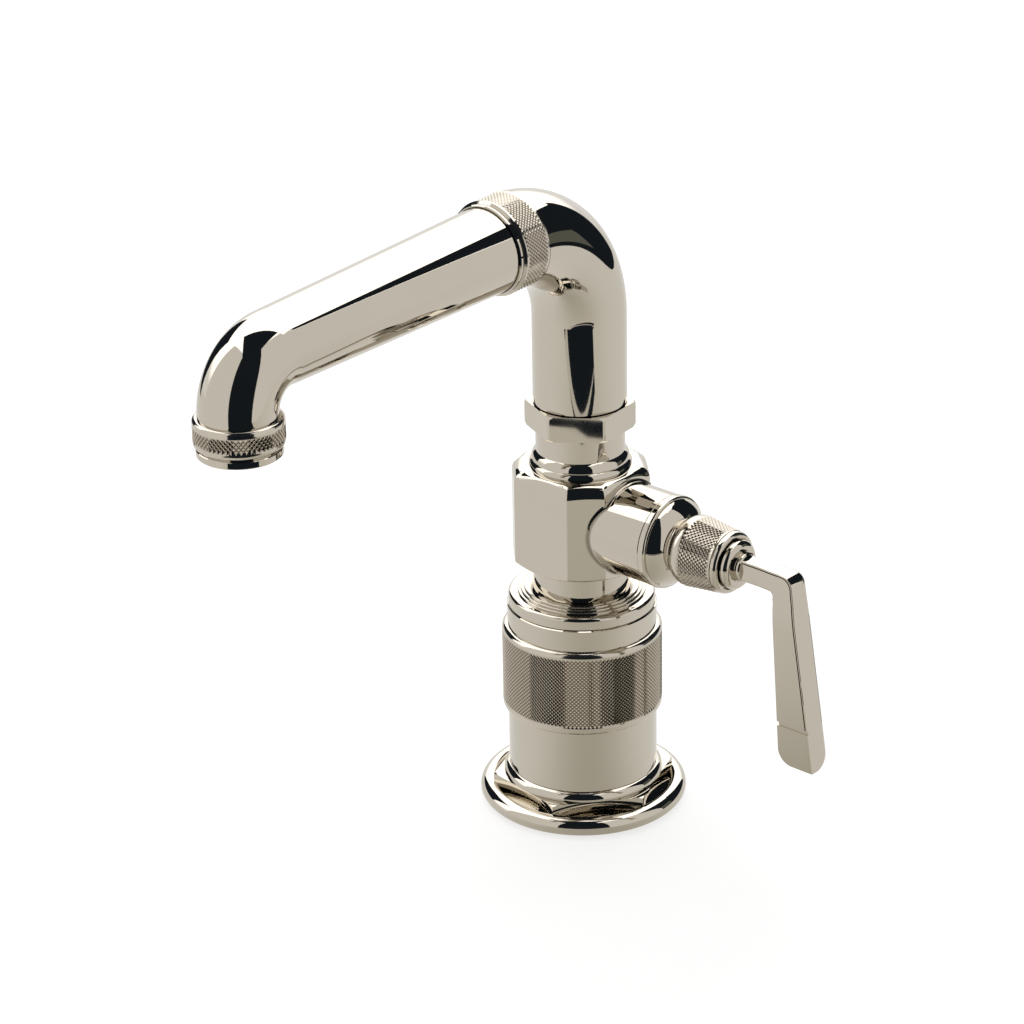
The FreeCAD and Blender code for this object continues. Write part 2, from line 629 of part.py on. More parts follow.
def spout_tube():
    start = UNION_BACK + (UNION_SPIGOT_LENGTH + 0.3) * math.cos(slope)
    lap = OUTLET_RING_LENGTH - 1.5
    outer = spout_bar(SPOUT_START_RADIUS, SPOUT_END_RADIUS, start, 0)
    y, z = outlet_place()
    spigot = cylinder(SPOUT_END_RADIUS - 0.4, z - lap, z, 0, y)
    inner = spout_bar(SPOUT_START_RADIUS - TUBE_WALL, SPOUT_END_RADIUS - TUBE_WALL, start, lap + 1)
    mouth = along_arm(cylinder(SPOUT_START_RADIUS - TUBE_WALL, -1, 1), start)
    return outer.fuse(spigot).cut([inner, mouth])


def knurled_outlet_ring():
    y, z = outlet_place()
    bore = SPOUT_END_RADIUS - 0.4 + FIT
    low = z - OUTLET_RING_LENGTH
    edge = OUTLET_RING_EDGE
    shape = turned([
        (bore, low), (OUTLET_RING_RADIUS - 0.75 * edge, low),
        (OUTLET_RING_RADIUS, low + edge, OUTLET_RING_RADIUS - 0.2 * edge, low + 0.35 * edge),
        (OUTLET_RING_RADIUS, z - edge),
        (OUTLET_RING_RADIUS - edge, z, OUTLET_RING_RADIUS - 0.28 * edge, z - 0.35 * edge),
        (bore, z)])
    shape.translate(Vector(0, y, 0))
    return shape


def aerator_top():
    return outlet_place()[1] - OUTLET_RING_LENGTH


def aerator_housing():
    """The ring that screws into the spout's end and holds the insert."""
    y, z = outlet_place()
    top = aerator_top()
    low = top - AERATOR_NECK - AERATOR_LIP
    thread = SPOUT_END_RADIUS - TUBE_WALL - FIT
    way = thread - AERATOR_WALL
    ledge = low + 0.8
    shape = turned([
        (way - 1, low), (AERATOR_RADIUS - 0.3, low), (AERATOR_RADIUS, low + 0.3),
        (AERATOR_RADIUS, top - AERATOR_NECK - 0.2), (AERATOR_RADIUS - 0.2, top - AERATOR_NECK),
        (AERATOR_RADIUS - 0.8, top - AERATOR_NECK), (AERATOR_RADIUS - 0.8, top),
        (thread, top), (thread, top + 0.6 * OUTLET_RING_LENGTH), (way, top + 0.6 * OUTLET_RING_LENGTH),
        (way, ledge), (way - 1, ledge)])
    shape.translate(Vector(0, y, 0))
    return shape


def insert_radius():
    return SPOUT_END_RADIUS - TUBE_WALL - FIT - AERATOR_WALL - FIT


def insert_low():
    return aerator_top() - AERATOR_NECK - AERATOR_LIP + 0.8


def aerator_insert():
    y = outlet_place()[0]
    low = insert_low()
    shape = cylinder(insert_radius(), low, low + AERATOR_INSERT_LENGTH)
    cuts = []
    pitch = 2 * insert_radius() / (MESH_SLOT_COUNT + 1)
    for k in range(MESH_SLOT_COUNT):
        x = pitch * (k + 1) - insert_radius()
        half = 0.82 * math.sqrt(insert_radius() ** 2 - x ** 2)
        slot = Part.makeBox(MESH_SLOT_WIDTH, 2 * half, AERATOR_INSERT_LENGTH + 2,
                            Vector(x - MESH_SLOT_WIDTH / 2, -half, low - 1))
        cuts.append(slot)
    shape = shape.cut(cuts)
    shape.translate(Vector(0, y, 0))
    return shape


def aerator_washer():
    y = outlet_place()[0]
    low = insert_low() + AERATOR_INSERT_LENGTH
    inner = insert_radius() - AERATOR_WASHER_WIDTH
    shape = ring(insert_radius(), inner, low, low + AERATOR_WASHER)
    shape.translate(Vector(0, y, 0))
    return shape


# ---- cartridge --------------------------------------------------------------------------
def port_places():
    """The ports across the branch axis: two inlets and the outlet, as (y, z)."""
    return [(-PORT_SIDE, -PORT_DROP), (PORT_SIDE, -PORT_DROP), (0, OUTLET_RISE)]


def branch_ports(radius, low, high):
    """Port bores as cylinders in the turning frame, where -X is up."""
    return [cylinder(radius, low, high, -z, y) for y, z in port_places()]


x_base = CHAMBER_FLOOR + 0.2
x_fixed_disc = x_base + CARTRIDGE_BASE
x_moving_disc = x_fixed_disc + DISC_THICKNESS + DISC_GAP
x_driver = x_moving_disc + DISC_THICKNESS
x_housing_end = x_driver + DRIVER_THICKNESS + GAP
x_housing_neck = x_housing_end + HOUSING_END
x_spindle_end = x_hub + SPINDLE_IN_HUB


def port_seals():
    rings = []
    for y, z in port_places():
        seal = cylinder(SEAL_RADIUS - FIT, CHAMBER_FLOOR, CHAMBER_FLOOR + SEAL_HEIGHT, -z, y)
        rings.append(seal.cut(cylinder(PORT_RADIUS, CHAMBER_FLOOR - 1, CHAMBER_FLOOR + 2, -z, y)))
    return along_branch(Part.makeCompound(rings))


def cartridge_base():
    plate = cylinder(CHAMBER_RADIUS - FIT, x_base, x_fixed_disc)
    plate = plate.cut(branch_ports(PORT_RADIUS, x_base - 1, x_fixed_disc + 1))
    plate = plate.cut(branch_ports(SEAL_RADIUS, x_base - 1, CHAMBER_FLOOR + SEAL_HEIGHT + FIT))
    return along_branch(plate)


def fixed_disc():
    disc = cylinder(DISC_RADIUS, x_fixed_disc, x_fixed_disc + DISC_THICKNESS)
    return along_branch(disc.cut(branch_ports(PORT_RADIUS, x_fixed_disc - 1, x_moving_disc)))


def moving_disc():
    """The turning disc, with the half-round mixing pocket that joins the ports."""
    disc = cylinder(DISC_RADIUS, x_moving_disc, x_driver)
    pocket = cylinder(POCKET_RADIUS, x_moving_disc - 1, x_moving_disc + POCKET_DEPTH)
    keep = Part.makeBox(4 * POCKET_RADIUS, 2 * POCKET_RADIUS, 2 * POCKET_DEPTH + 4 * OVERCUT,
                        Vector(-2 * POCKET_RADIUS, PORT_RADIUS, x_moving_disc - 4 * OVERCUT))
    return along_branch(disc.cut(pocket.cut(keep)))


def spindle():
    driver = cylinder(DRIVER_RADIUS, x_driver, x_driver + DRIVER_THICKNESS)
    return along_branch(driver.fuse(cylinder(SPINDLE_RADIUS, x_driver, x_spindle_end)))


def cartridge_housing():
    neck_end = x_housing_neck + HOUSING_NECK_LENGTH
    bore = SPINDLE_RADIUS + RUN
    cage = DISC_RADIUS + GAP
    low = x_housing_neck + 0.35 * HOUSING_NECK_LENGTH
    groove = bore + SPINDLE_ORING
    shape = turned([
        (cage, x_fixed_disc), (CHAMBER_RADIUS - FIT, x_fixed_disc),
        (CHAMBER_RADIUS - FIT, x_housing_neck), (HOUSING_NECK_RADIUS, x_housing_neck),
        (HOUSING_NECK_RADIUS, neck_end), (bore, neck_end), (bore, low + SPINDLE_ORING),
        (groove, low + SPINDLE_ORING), (groove, low), (bore, low),
        (bore, x_housing_end), (cage, x_housing_end)])
    return along_branch(shape)


def spindle_oring():
    bore = SPINDLE_RADIUS + RUN
    low = x_housing_neck + 0.35 * HOUSING_NECK_LENGTH
    return along_branch(ring(bore + SPINDLE_ORING - FIT, bore, low + FIT, low + SPINDLE_ORING - FIT))


def gland_nut():
    low = x_housing_neck
    nut = ring(CHAMBER_RADIUS - FIT, HOUSING_NECK_RADIUS + FIT, low, low + GLAND_NUT_LENGTH)
    key = hexagon(GLAND_KEY_RADIUS, low + 0.4 * GLAND_NUT_LENGTH, low + GLAND_NUT_LENGTH + OVERCUT, 0)
    return along_branch(nut.cut(key))


# ---- branch cap, hub and lever ----------------------------------------------------------
def branch_cap():
    """The domed cap that closes the branch round the spindle."""
    band_end = x_branch_end + CAP_BAND
    spigot = CHAMBER_RADIUS - FIT
    bore = SPINDLE_RADIUS + GAP
    hollow = HOUSING_NECK_RADIUS + 2 * GAP
    neck_end = x_cap_end + HUB_NECK_LENGTH
    roof = x_branch_end + CAP_BAND
    bulge_radius = 0.35 * DOME_RADIUS + 0.65 * DOME_END_RADIUS
    bulge_x = band_end + 0.78 * DOME_LENGTH
    shape = turned([
        (hollow, x_branch_end - DOME_SPIGOT_LENGTH), (spigot, x_branch_end - DOME_SPIGOT_LENGTH),
        (spigot, x_branch_end), (CAP_BAND_RADIUS - 0.3, x_branch_end),
        (CAP_BAND_RADIUS, x_branch_end + 0.3),
        (CAP_BAND_RADIUS, band_end - 0.8),
        (CAP_BAND_RADIUS - 0.6, band_end, CAP_BAND_RADIUS - 0.15, band_end - 0.3),
        (DOME_RADIUS - 0.1, band_end), (DOME_RADIUS - 0.1, band_end + 0.3),
        (DOME_END_RADIUS, x_cap_end - 0.4, bulge_radius, bulge_x - 0.3),
        (DOME_END_RADIUS, x_cap_end), (HUB_NECK_RADIUS, x_cap_end), (HUB_NECK_RADIUS, neck_end),
        (bore, neck_end), (bore, roof), (hollow, roof)])
    return along_branch(shape)


def lever_hub():
    nose = x_hub_end - HUB_NOSE
    bore = SPINDLE_RADIUS + RUN
    small = STEM_RADIUS + FIT
    stop = x_spindle_end + FIT
    shape = turned([
        (bore, x_hub), (HUB_BACK_RADIUS, x_hub),
        (HUB_RADIUS, x_hub + HUB_FLARE, 0.25 * HUB_BACK_RADIUS + 0.75 * HUB_RADIUS, x_hub + 0.45 * HUB_FLARE),
        (HUB_FRONT_RADIUS, nose),
        (HUB_NOSE_RADIUS - 0.5, x_hub_end, HUB_NOSE_RADIUS + 0.3, x_hub_end - 0.3 * HUB_NOSE),
        (HUB_RECESS_RADIUS, x_hub_end), (HUB_RECESS_RADIUS, x_boss), (small, x_boss),
        (small, stop), (bore, stop)])
    hub = along_branch(shape)
    hole = Vector(x_hub + GRUB_FROM_BACK, 0, z_branch - 2 * HUB_RADIUS)
    return hub.cut(Part.makeCylinder(GRUB_RADIUS + FIT, 2 * HUB_RADIUS, hole))


def hub_grub_screw():
    top = z_branch - SPINDLE_RADIUS - FIT
    low = z_branch - HUB_BACK_RADIUS - 0.6
    screw = Part.makeCylinder(GRUB_RADIUS, top - low, Vector(x_hub + GRUB_FROM_BACK, 0, low))
    key = hexagon(0.55 * GRUB_RADIUS, low - 1, low + 1.5, 0)
    key.translate(Vector(x_hub + GRUB_FROM_BACK, 0, 0))
    return screw.cut(key)


def lever_boss():
    side = x_boss + BOSS_SIDE
    dome = side + BOSS_DOME
    step = dome + BOSS_STEP
    shape = turned([
        (STEM_RADIUS + FIT, x_boss), (BOSS_RADIUS, x_boss), (BOSS_RADIUS, side),
        (BOSS_STEP_RADIUS, dome, 0.3 * BOSS_STEP_RADIUS + 0.7 * BOSS_RADIUS, side + 0.62 * BOSS_DOME),
        (BOSS_STEP_RADIUS - 0.7, dome), (BOSS_STEP_RADIUS - 0.7, step),
        (BOSS_TIP_RADIUS, step), (BOSS_TIP_RADIUS, x_boss_end - 0.4),
        (BOSS_TIP_RADIUS - 0.4, x_boss_end), (STEM_RADIUS + FIT, x_boss_end)])
    return along_branch(shape)


def blade_lines():
    """The blade's outline seen along Y, as named corners."""
    top = z_branch + STEM_HEIGHT / 2
    low = z_branch - BLADE_DROP
    heel = z_branch - STEM_HEIGHT / 2
    lean = math.tan(math.radians(BLADE_LEAN))
    inner_low = LEVER_REACH + (heel - low) * lean
    outer_low = inner_low + BLADE_END_THICKNESS
    outer_heel = LEVER_REACH + BLADE_TOP_THICKNESS
    grow = (outer_low - outer_heel) / (heel - low)
    outer_top = outer_heel - grow * (top - heel)
    return top, low, heel, inner_low, outer_low, outer_top, outer_heel


def lever_blade():
    top, low, heel, inner_low, outer_low, outer_top, outer_heel = blade_lines()
    half = BLADE_WIDTH / 2
    corners = [(LEVER_REACH, top), (outer_top, top), (outer_low, low), (inner_low, low),
               (LEVER_REACH, heel), (LEVER_REACH, top)]
    outline = Part.makePolygon([Vector(x, -half, z) for x, z in corners])
    blade = Part.Face(outline).extrude(Vector(0, BLADE_WIDTH, 0))
    tip_edges = edges_at(blade, inner_low, low)
    blade = blade.makeFillet(BLADE_TIP_ROUND, tip_edges)
    shoulder = edges_at(blade, outer_top, top)
    blade = blade.makeFillet(BLADE_SHOULDER_ROUND, shoulder)
    back = [edge for edge in blade.Edges if all(abs(v.Y - half) < 1e-4 for v in edge.Vertexes)
            and not all(abs(v.X - LEVER_REACH) < 1e-4 for v in edge.Vertexes)]
    return blade.makeFillet(BLADE_BACK_ROUND, back)


def edges_at(shape, x, z):
    """The edges parallel to Y that pass through a point of the outline."""
    found = []
    for edge in shape.Edges:
        if all(abs(v.X - x) < 1e-4 and abs(v.Z - z) < 1e-4 for v in edge.Vertexes):
            found.append(edge)
    return found


def lever_stem():
    """The stem: a bar with eased edges that widens into the blade's root."""
    start = x_boss_end
    flare = LEVER_REACH - STEM_FLARE
    end = LEVER_REACH + 0.2
    bar = [rounded_rectangle(x, STEM_WIDTH, STEM_HEIGHT, STEM_EDGE) for x in (start, flare)]
    root = [rounded_rectangle(flare, STEM_WIDTH, STEM_HEIGHT, STEM_EDGE),
            rounded_rectangle(end, BLADE_WIDTH - 2 * STEM_EDGE, STEM_HEIGHT, STEM_EDGE)]
    stem = Part.makeLoft(bar, True, True).fuse(Part.makeLoft(root, True, True))
    spigot = along_branch(cylinder(STEM_RADIUS, x_boss - STEM_SPIGOT, start))
    return stem, spigot


def rounded_rectangle(x, width, height, corner):
    """A closed outline across the stem, made of four sides and four quarter arcs."""
    y = width / 2
    z = height / 2
    edges = []
    mid = corner * (1 - math.sqrt(0.5))
    sides = [
        ((y, -z + corner), (y, z - corner)), ((y - corner, z), (-y + corner, z)),
        ((-y, z - corner), (-y, -z + corner)), ((-y + corner, -z), (y - corner, -z))]
    bends = [(y - mid, z - mid), (-y + mid, z - mid), (-y + mid, -z + mid), (y - mid, -z + mid)]
    for k in range(4):
        a, b = sides[k]
        after = sides[(k + 1) % 4][0]
        pa = Vector(x, a[0], z_branch + a[1])
        pb = Vector(x, b[0], z_branch + b[1])
        edges.append(Part.makeLine(pa, pb))
        bend = Vector(x, bends[k][0], z_branch + bends[k][1])
        edges.append(Part.Arc(pb, bend, Vector(x, after[0], z_branch + after[1])).toShape())
    return Part.Wire(edges)


def lever_grooves():
    """Fine lines on the blade: one along each outer edge and one across above the tip."""
    top, low, heel, inner_low, outer_low, outer_top, outer_heel = blade_lines()
    half = BLADE_WIDTH / 2
    line_z = low + TIP_LINE_ABOVE_END
    grow = (outer_low - outer_top) / (top - low)
    cuts = []
    high = top - BLADE_SHOULDER_ROUND
    def outer(z):
        return outer_top + grow * (top - z) - LINE_INSET
    corners = [(outer(high), high), (outer(line_z), line_z),
               (outer(line_z) - LINE_WIDTH, line_z), (outer(high) - LINE_WIDTH, high), (outer(high), high)]
    strip = Part.Face(Part.makePolygon([Vector(x, -half - 1, z) for x, z in corners]))
    cuts.append(strip.extrude(Vector(0, 1 + LINE_DEPTH, 0)))
    width = outer(line_z) - LEVER_REACH
    across = Part.makeBox(width, 1 + LINE_DEPTH, TIP_LINE_WIDTH,
                          Vector(LEVER_REACH, -half - 1, line_z - TIP_LINE_WIDTH / 2))
    cuts.append(across)
    lean = math.tan(math.radians(BLADE_LEAN))
    inner = LEVER_REACH + (heel - line_z) * lean
    notch = Part.makeBox(2 + LINE_DEPTH, BLADE_WIDTH - BLADE_BACK_ROUND + 1, TIP_LINE_WIDTH,
                         Vector(inner - 2, -half - 1, line_z - TIP_LINE_WIDTH / 2))
    cuts.append(notch)
    return cuts


def lever():
    stem, spigot = lever_stem()
    return lever_blade().fuse([stem, spigot]).cut(lever_grooves())


os.makedirs("parts", exist_ok=True)
save("deck_gasket", deck_gasket())
save("base_flange", base_flange())
save("base_plinth", base_plinth())
save("base_bead", base_bead())
save("hot_supply_tube", supply_tube(-1))
save("cold_supply_tube", supply_tube(1))
save("column_core", column_core())
save("column_sleeve", column_sleeve())
save("knurled_column_ring", knurled_column_ring())
save("column_top_sleeve", column_top_sleeve())
save("column_cap", column_cap())
save("valve_body", valve_body())
save("swivel_collar", swivel_collar())
save("swivel_nut", swivel_nut())
save("spout_tail", spout_tail())
save("tail_orings", tail_orings())
save("retaining_clip", retaining_clip())
save("riser_elbow", riser_elbow())
save("knurled_union_ring", knurled_union_ring())
save("union_lip", union_lip())
save("spout_tube", spout_tube())
save("knurled_outlet_ring", knurled_outlet_ring())
save("aerator_housing", aerator_housing())
save("aerator_insert", aerator_insert())
save("aerator_washer", aerator_washer())
save("port_seals", port_seals())
save("cartridge_base", cartridge_base())
save("fixed_disc", fixed_disc())
save("moving_disc", moving_disc())
save("spindle", spindle())
save("cartridge_housing", cartridge_housing())
save("spindle_oring", spindle_oring())
save("gland_nut", gland_nut())
save("branch_cap", branch_cap())
save("lever_hub", lever_hub())
save("hub_grub_screw", hub_grub_screw())
save("lever_boss", lever_boss())
save("lever", lever())
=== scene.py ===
import json
import math

import bpy
from mathutils import Matrix, Vector


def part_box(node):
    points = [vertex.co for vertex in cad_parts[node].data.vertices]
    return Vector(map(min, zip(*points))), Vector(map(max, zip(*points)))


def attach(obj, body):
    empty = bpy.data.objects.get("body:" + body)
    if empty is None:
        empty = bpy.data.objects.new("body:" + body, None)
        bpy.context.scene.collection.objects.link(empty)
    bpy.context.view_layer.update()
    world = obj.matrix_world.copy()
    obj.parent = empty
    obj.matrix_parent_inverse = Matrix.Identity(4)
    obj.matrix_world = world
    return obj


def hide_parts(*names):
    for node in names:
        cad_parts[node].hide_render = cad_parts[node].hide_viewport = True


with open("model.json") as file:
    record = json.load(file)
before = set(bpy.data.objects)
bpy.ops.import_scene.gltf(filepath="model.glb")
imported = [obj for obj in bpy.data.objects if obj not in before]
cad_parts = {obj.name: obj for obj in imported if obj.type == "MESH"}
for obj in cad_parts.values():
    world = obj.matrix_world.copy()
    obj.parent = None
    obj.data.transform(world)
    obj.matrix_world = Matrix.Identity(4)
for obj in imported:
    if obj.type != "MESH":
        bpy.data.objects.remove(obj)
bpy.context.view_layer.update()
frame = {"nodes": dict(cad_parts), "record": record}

# Bar faucet in polished nickel.  Metres, in the frame of the solids: Z is up, the spout
# points along -Y, the valve branch and its lever along +X.  The plain turned pieces, the
# valve block and the lever are drawn in millimetres, and become metres in their meshes.
MM = 0.001
scene = bpy.context.scene
scene.view_settings.view_transform = "Standard"

branch_cap_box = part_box("branch_cap")
branch_height = (branch_cap_box[0].z + branch_cap_box[1].z) / 2


# ---- node materials ---------------------------------------------------------------------
NOISE_MIDDLE = (0.3, 0.7)     # the part of its range that most of a noise lies in
WEAR_SCALE = 2.3              # of the roughness pattern, against the tones' pattern
GRAIN_STRENGTH = 0.5
SHADE_FALL = 1.3               # above 1, the painted shade keeps to the bottom of a groove
NICKEL = (0.575, 0.532, 0.462)
FINISHES = {
    # slot: metallic, two tones, least and most roughness, scales of the tones and of the
    # grain in cycles per metre, depth of the grain, and its stretch where it has one
    "polished_nickel": (1.0, (NICKEL, (0.59, 0.545, 0.472)), (0.02, 0.035), 40, 90, 2e-6),
    "knurled_nickel": (1.0, (NICKEL, (0.6, 0.55, 0.475)), (0.08, 0.12), 60, 900, 2e-6),
    "brass": (1.0, ((0.62, 0.44, 0.18), (0.7, 0.52, 0.24)), (0.2, 0.32), 80, 1500, 1e-5,
              (1, 1, 8)),
    "steel": (1.0, ((0.5, 0.5, 0.5), (0.58, 0.58, 0.57)), (0.22, 0.35), 120, 1800, 1e-5,
              (1, 1, 6)),
    "rubber": (0.0, ((0.018, 0.018, 0.018), (0.03, 0.03, 0.029)), (0.55, 0.75), 150, 2500, 2e-5),
    "ceramic": (0.0, ((0.84, 0.83, 0.8), (0.9, 0.89, 0.86)), (0.12, 0.2), 90, 1200, 3e-6),
    "plastic": (0.0, ((0.7, 0.7, 0.68), (0.76, 0.76, 0.74)), (0.35, 0.5), 110, 1600, 1e-5),
}
# painted shade: dark colours laid into grooves, notches and the block's fillet, where shade
# falls
GROOVE_SHADES = {"polished_nickel": (0.1, 0.08, 0.05), "knurled_nickel": (0.13, 0.092, 0.05)}


def feed(owner, node, inputs):
    """Set a node's inputs, each to a value or to the output of another node."""
    for name, value in inputs.items():
        if isinstance(value, bpy.types.NodeSocket):
            owner.node_tree.links.new(value, node.inputs[name])
        else:
            node.inputs[name].default_value = value


def new_node(owner, kind, inputs=None, **settings):
    """A new node of a material or of the world."""
    node = owner.node_tree.nodes.new(kind)
    for name, value in settings.items():
        setattr(node, name, value)
    feed(owner, node, inputs or {})
    return node


def maths(owner, operation, first, second):
    """One step of arithmetic on two numbers or outputs."""
    inputs = {0: first, 1: second}
    return new_node(owner, "ShaderNodeMath", inputs, operation=operation).outputs[0]


def map_range(owner, value, source, target, **settings):
    """Map a range of a value to another range, whose ends are numbers or outputs."""
    inputs = {"Value": value, "From Min": source[0], "From Max": source[1],
              "To Min": target[0], "To Max": target[1]}
    return new_node(owner, "ShaderNodeMapRange", inputs, **settings).outputs["Result"]


def opaque(colour):
    return (*colour, 1)


def mixed_colour(owner, factor, first, second):
    """A mix of two colours, each an output or four numbers."""
    inputs = {"Factor": factor, "A": first, "B": second}
    return new_node(owner, "ShaderNodeMix", inputs, data_type="RGBA").outputs["Result"]


def noise(owner, scale, detail, stretch=(1, 1, 1)):
    """A noise pattern fixed to the object, with the scale in cycles per metre."""
    place = new_node(owner, "ShaderNodeTexCoord").outputs["Object"]
    squeeze = new_node(owner, "ShaderNodeMapping", {"Vector": place, "Scale": stretch})
    inputs = {"Vector": squeeze.outputs["Vector"], "Scale": scale, "Detail": detail}
    return new_node(owner, "ShaderNodeTexNoise", inputs).outputs["Fac"]


def surface(name, metallic, tones, roughness, tone_scale, grain_scale, grain_depth,
            stretch=(1, 1, 1)):
    """A finish with two close tones, uneven roughness and a fine grain."""
    material = bpy.data.materials.new(name)
    material.use_nodes = True
    shader = material.node_tree.nodes["Principled BSDF"]
    share = map_range(material, noise(material, tone_scale, 3), NOISE_MIDDLE, (0, 1))
    tone = mixed_colour(material, share, opaque(tones[0]), opaque(tones[1]))
    uneven = noise(material, WEAR_SCALE * tone_scale, 4)
    wear = map_range(material, uneven, NOISE_MIDDLE, roughness)
    grain = noise(material, grain_scale, 2, stretch)
    relief = new_node(material, "ShaderNodeBump", {
        "Height": grain, "Distance": grain_depth, "Strength": GRAIN_STRENGTH})
    feed(material, shader, {"Metallic": metallic, "Base Color": tone, "Roughness": wear,
                            "Normal": relief.outputs["Normal"]})
    return material


def paint_shade_in_grooves(material, painted_shade):
    """Painted shade: a darker colour where the mesh's groove value is high.  Meshes without it
    keep their own colour.
    """
    shader = material.node_tree.nodes["Principled BSDF"]
    unshaded = shader.inputs["Base Color"].links[0].from_socket
    depth = new_node(material, "ShaderNodeAttribute", attribute_name="groove").outputs["Fac"]
    share = maths(material, "POWER", depth, SHADE_FALL)
    feed(material, shader, {"Base Color": mixed_colour(material, share, unshaded, opaque(painted_shade))})


materials = {slot: surface(slot, *finish) for slot, finish in FINISHES.items()}
for slot, painted_shade in GROOVE_SHADES.items():
    paint_shade_in_grooves(materials[slot], painted_shade)


def dress_nodes():
    for entry in frame["record"]["subparts"]:
        mesh = frame["nodes"][entry["node"]].data
        mesh.materials.clear()
        mesh.materials.append(materials[entry["material_slot"]])


# ---- meshes -----------------------------------------------------------------------------
CREASE = math.radians(28)     # faces that meet at a larger angle keep a crisp edge
LARGE_FACES_FIRST = 70        # weight of the large faces in the even normals


class Shape:
    """A mesh in the making: points, with their share of painted shade, and faces."""

    def __init__(self):
        self.points = []
        self.painted_shade = []
        self.faces = []
        self.flat = []

    def point(self, x, y, z, painted_shade=0.0):
        self.points.append((x, y, z))
        self.painted_shade.append(painted_shade)
        return len(self.points) - 1

    def face(self, corners, flat=False):
        self.faces.append(corners)
        self.flat.append(flat)

    def band(self, first, second):
        """Faces between two rings of points."""
        count = len(first)
        for k in range(count):
            after = (k + 1) % count
            self.face((first[k], first[after], second[after], second[k]))

    def closed(self, rings):
        """Faces from each ring to the next one, and from the last one to the first."""
        for k, ring in enumerate(rings):
            self.band(ring, rings[(k + 1) % len(rings)])

    def build(self, name, place, node, body, slot):
        """Put the mesh in the scene in the place of a node."""
        mesh = bpy.data.meshes.new(name)
        mesh.from_pydata(self.points, [], self.faces)
        mesh.validate()
        for polygon, flat in zip(mesh.polygons, self.flat):
            polygon.use_smooth = not flat
        # the groove attribute holds each point's share of painted shade
        groove = mesh.attributes.new("groove", "FLOAT", "POINT")
        groove.data.foreach_set("value", self.painted_shade)
        mesh.transform(place)
        mark_sharp(mesh)
        piece = bpy.data.objects.new(name, mesh)
        scene.collection.objects.link(piece)
        mesh.materials.append(materials[slot])
        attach(piece, body)
        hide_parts(node)
        return piece


def mark_sharp(mesh):
    """Keep the edges crisp where two surfaces meet at an angle."""
    normals = [polygon.normal.copy() for polygon in mesh.polygons]
    beside = {}
    for polygon in mesh.polygons:
        for key in polygon.edge_keys:
            beside.setdefault(key, []).append(polygon.index)
    for edge in mesh.edges:
        pair = beside.get(edge.key, [])
        if len(pair) == 2:
            edge.use_edge_sharp = normals[pair[0]].angle(normals[pair[1]], 0.0) > CREASE


def even_normals(piece):
    """Keep flat faces flat in the shading beside small rounded edges."""
    modifier = piece.modifiers.new("even_normals", "WEIGHTED_NORMAL")
    modifier.keep_sharp = True
    modifier.weight = LARGE_FACES_FIRST


def between(start, end, share):
    """The place at a share of the way from start to end, each of two numbers."""
    return (start[0] + share * (end[0] - start[0]), start[1] + share * (end[1] - start[1]))


def quarter(start, end, count, bulge_first):
    """Points on a quarter of an ellipse from start to end.  With bulge_first the curve
    leaves start along the radius, and otherwise along the axis."""
    points = []
    for k in range(count + 1):
        t = math.pi / 2 * k / count
        if bulge_first:
            r = start[0] + (end[0] - start[0]) * math.sin(t)
            z = end[1] + (start[1] - end[1]) * math.cos(t)
        else:
            r = end[0] + (start[0] - end[0]) * math.cos(t)
            z = start[1] + (end[1] - start[1]) * math.sin(t)
        points.append((r, z))
    return points


def arc(centre, radius, start, end, count):
    """Points on an arc in the plane of an outline, with its angles in degrees."""
    points = []
    for k in range(count + 1):
        t = math.radians(start + (end - start) * k / count)
        points.append((centre[0] + radius * math.cos(t), centre[1] + radius * math.sin(t)))
    return points


# ---- turned pieces and knurls -----------------------------------------------------------
GROOVE_DEPTH = 0.27 * MM
FLAT_SHARE = 0.14             # size of a diamond's flat top against the whole diamond
TURNED_SIDES = 96             # half of the points round a plain turned piece


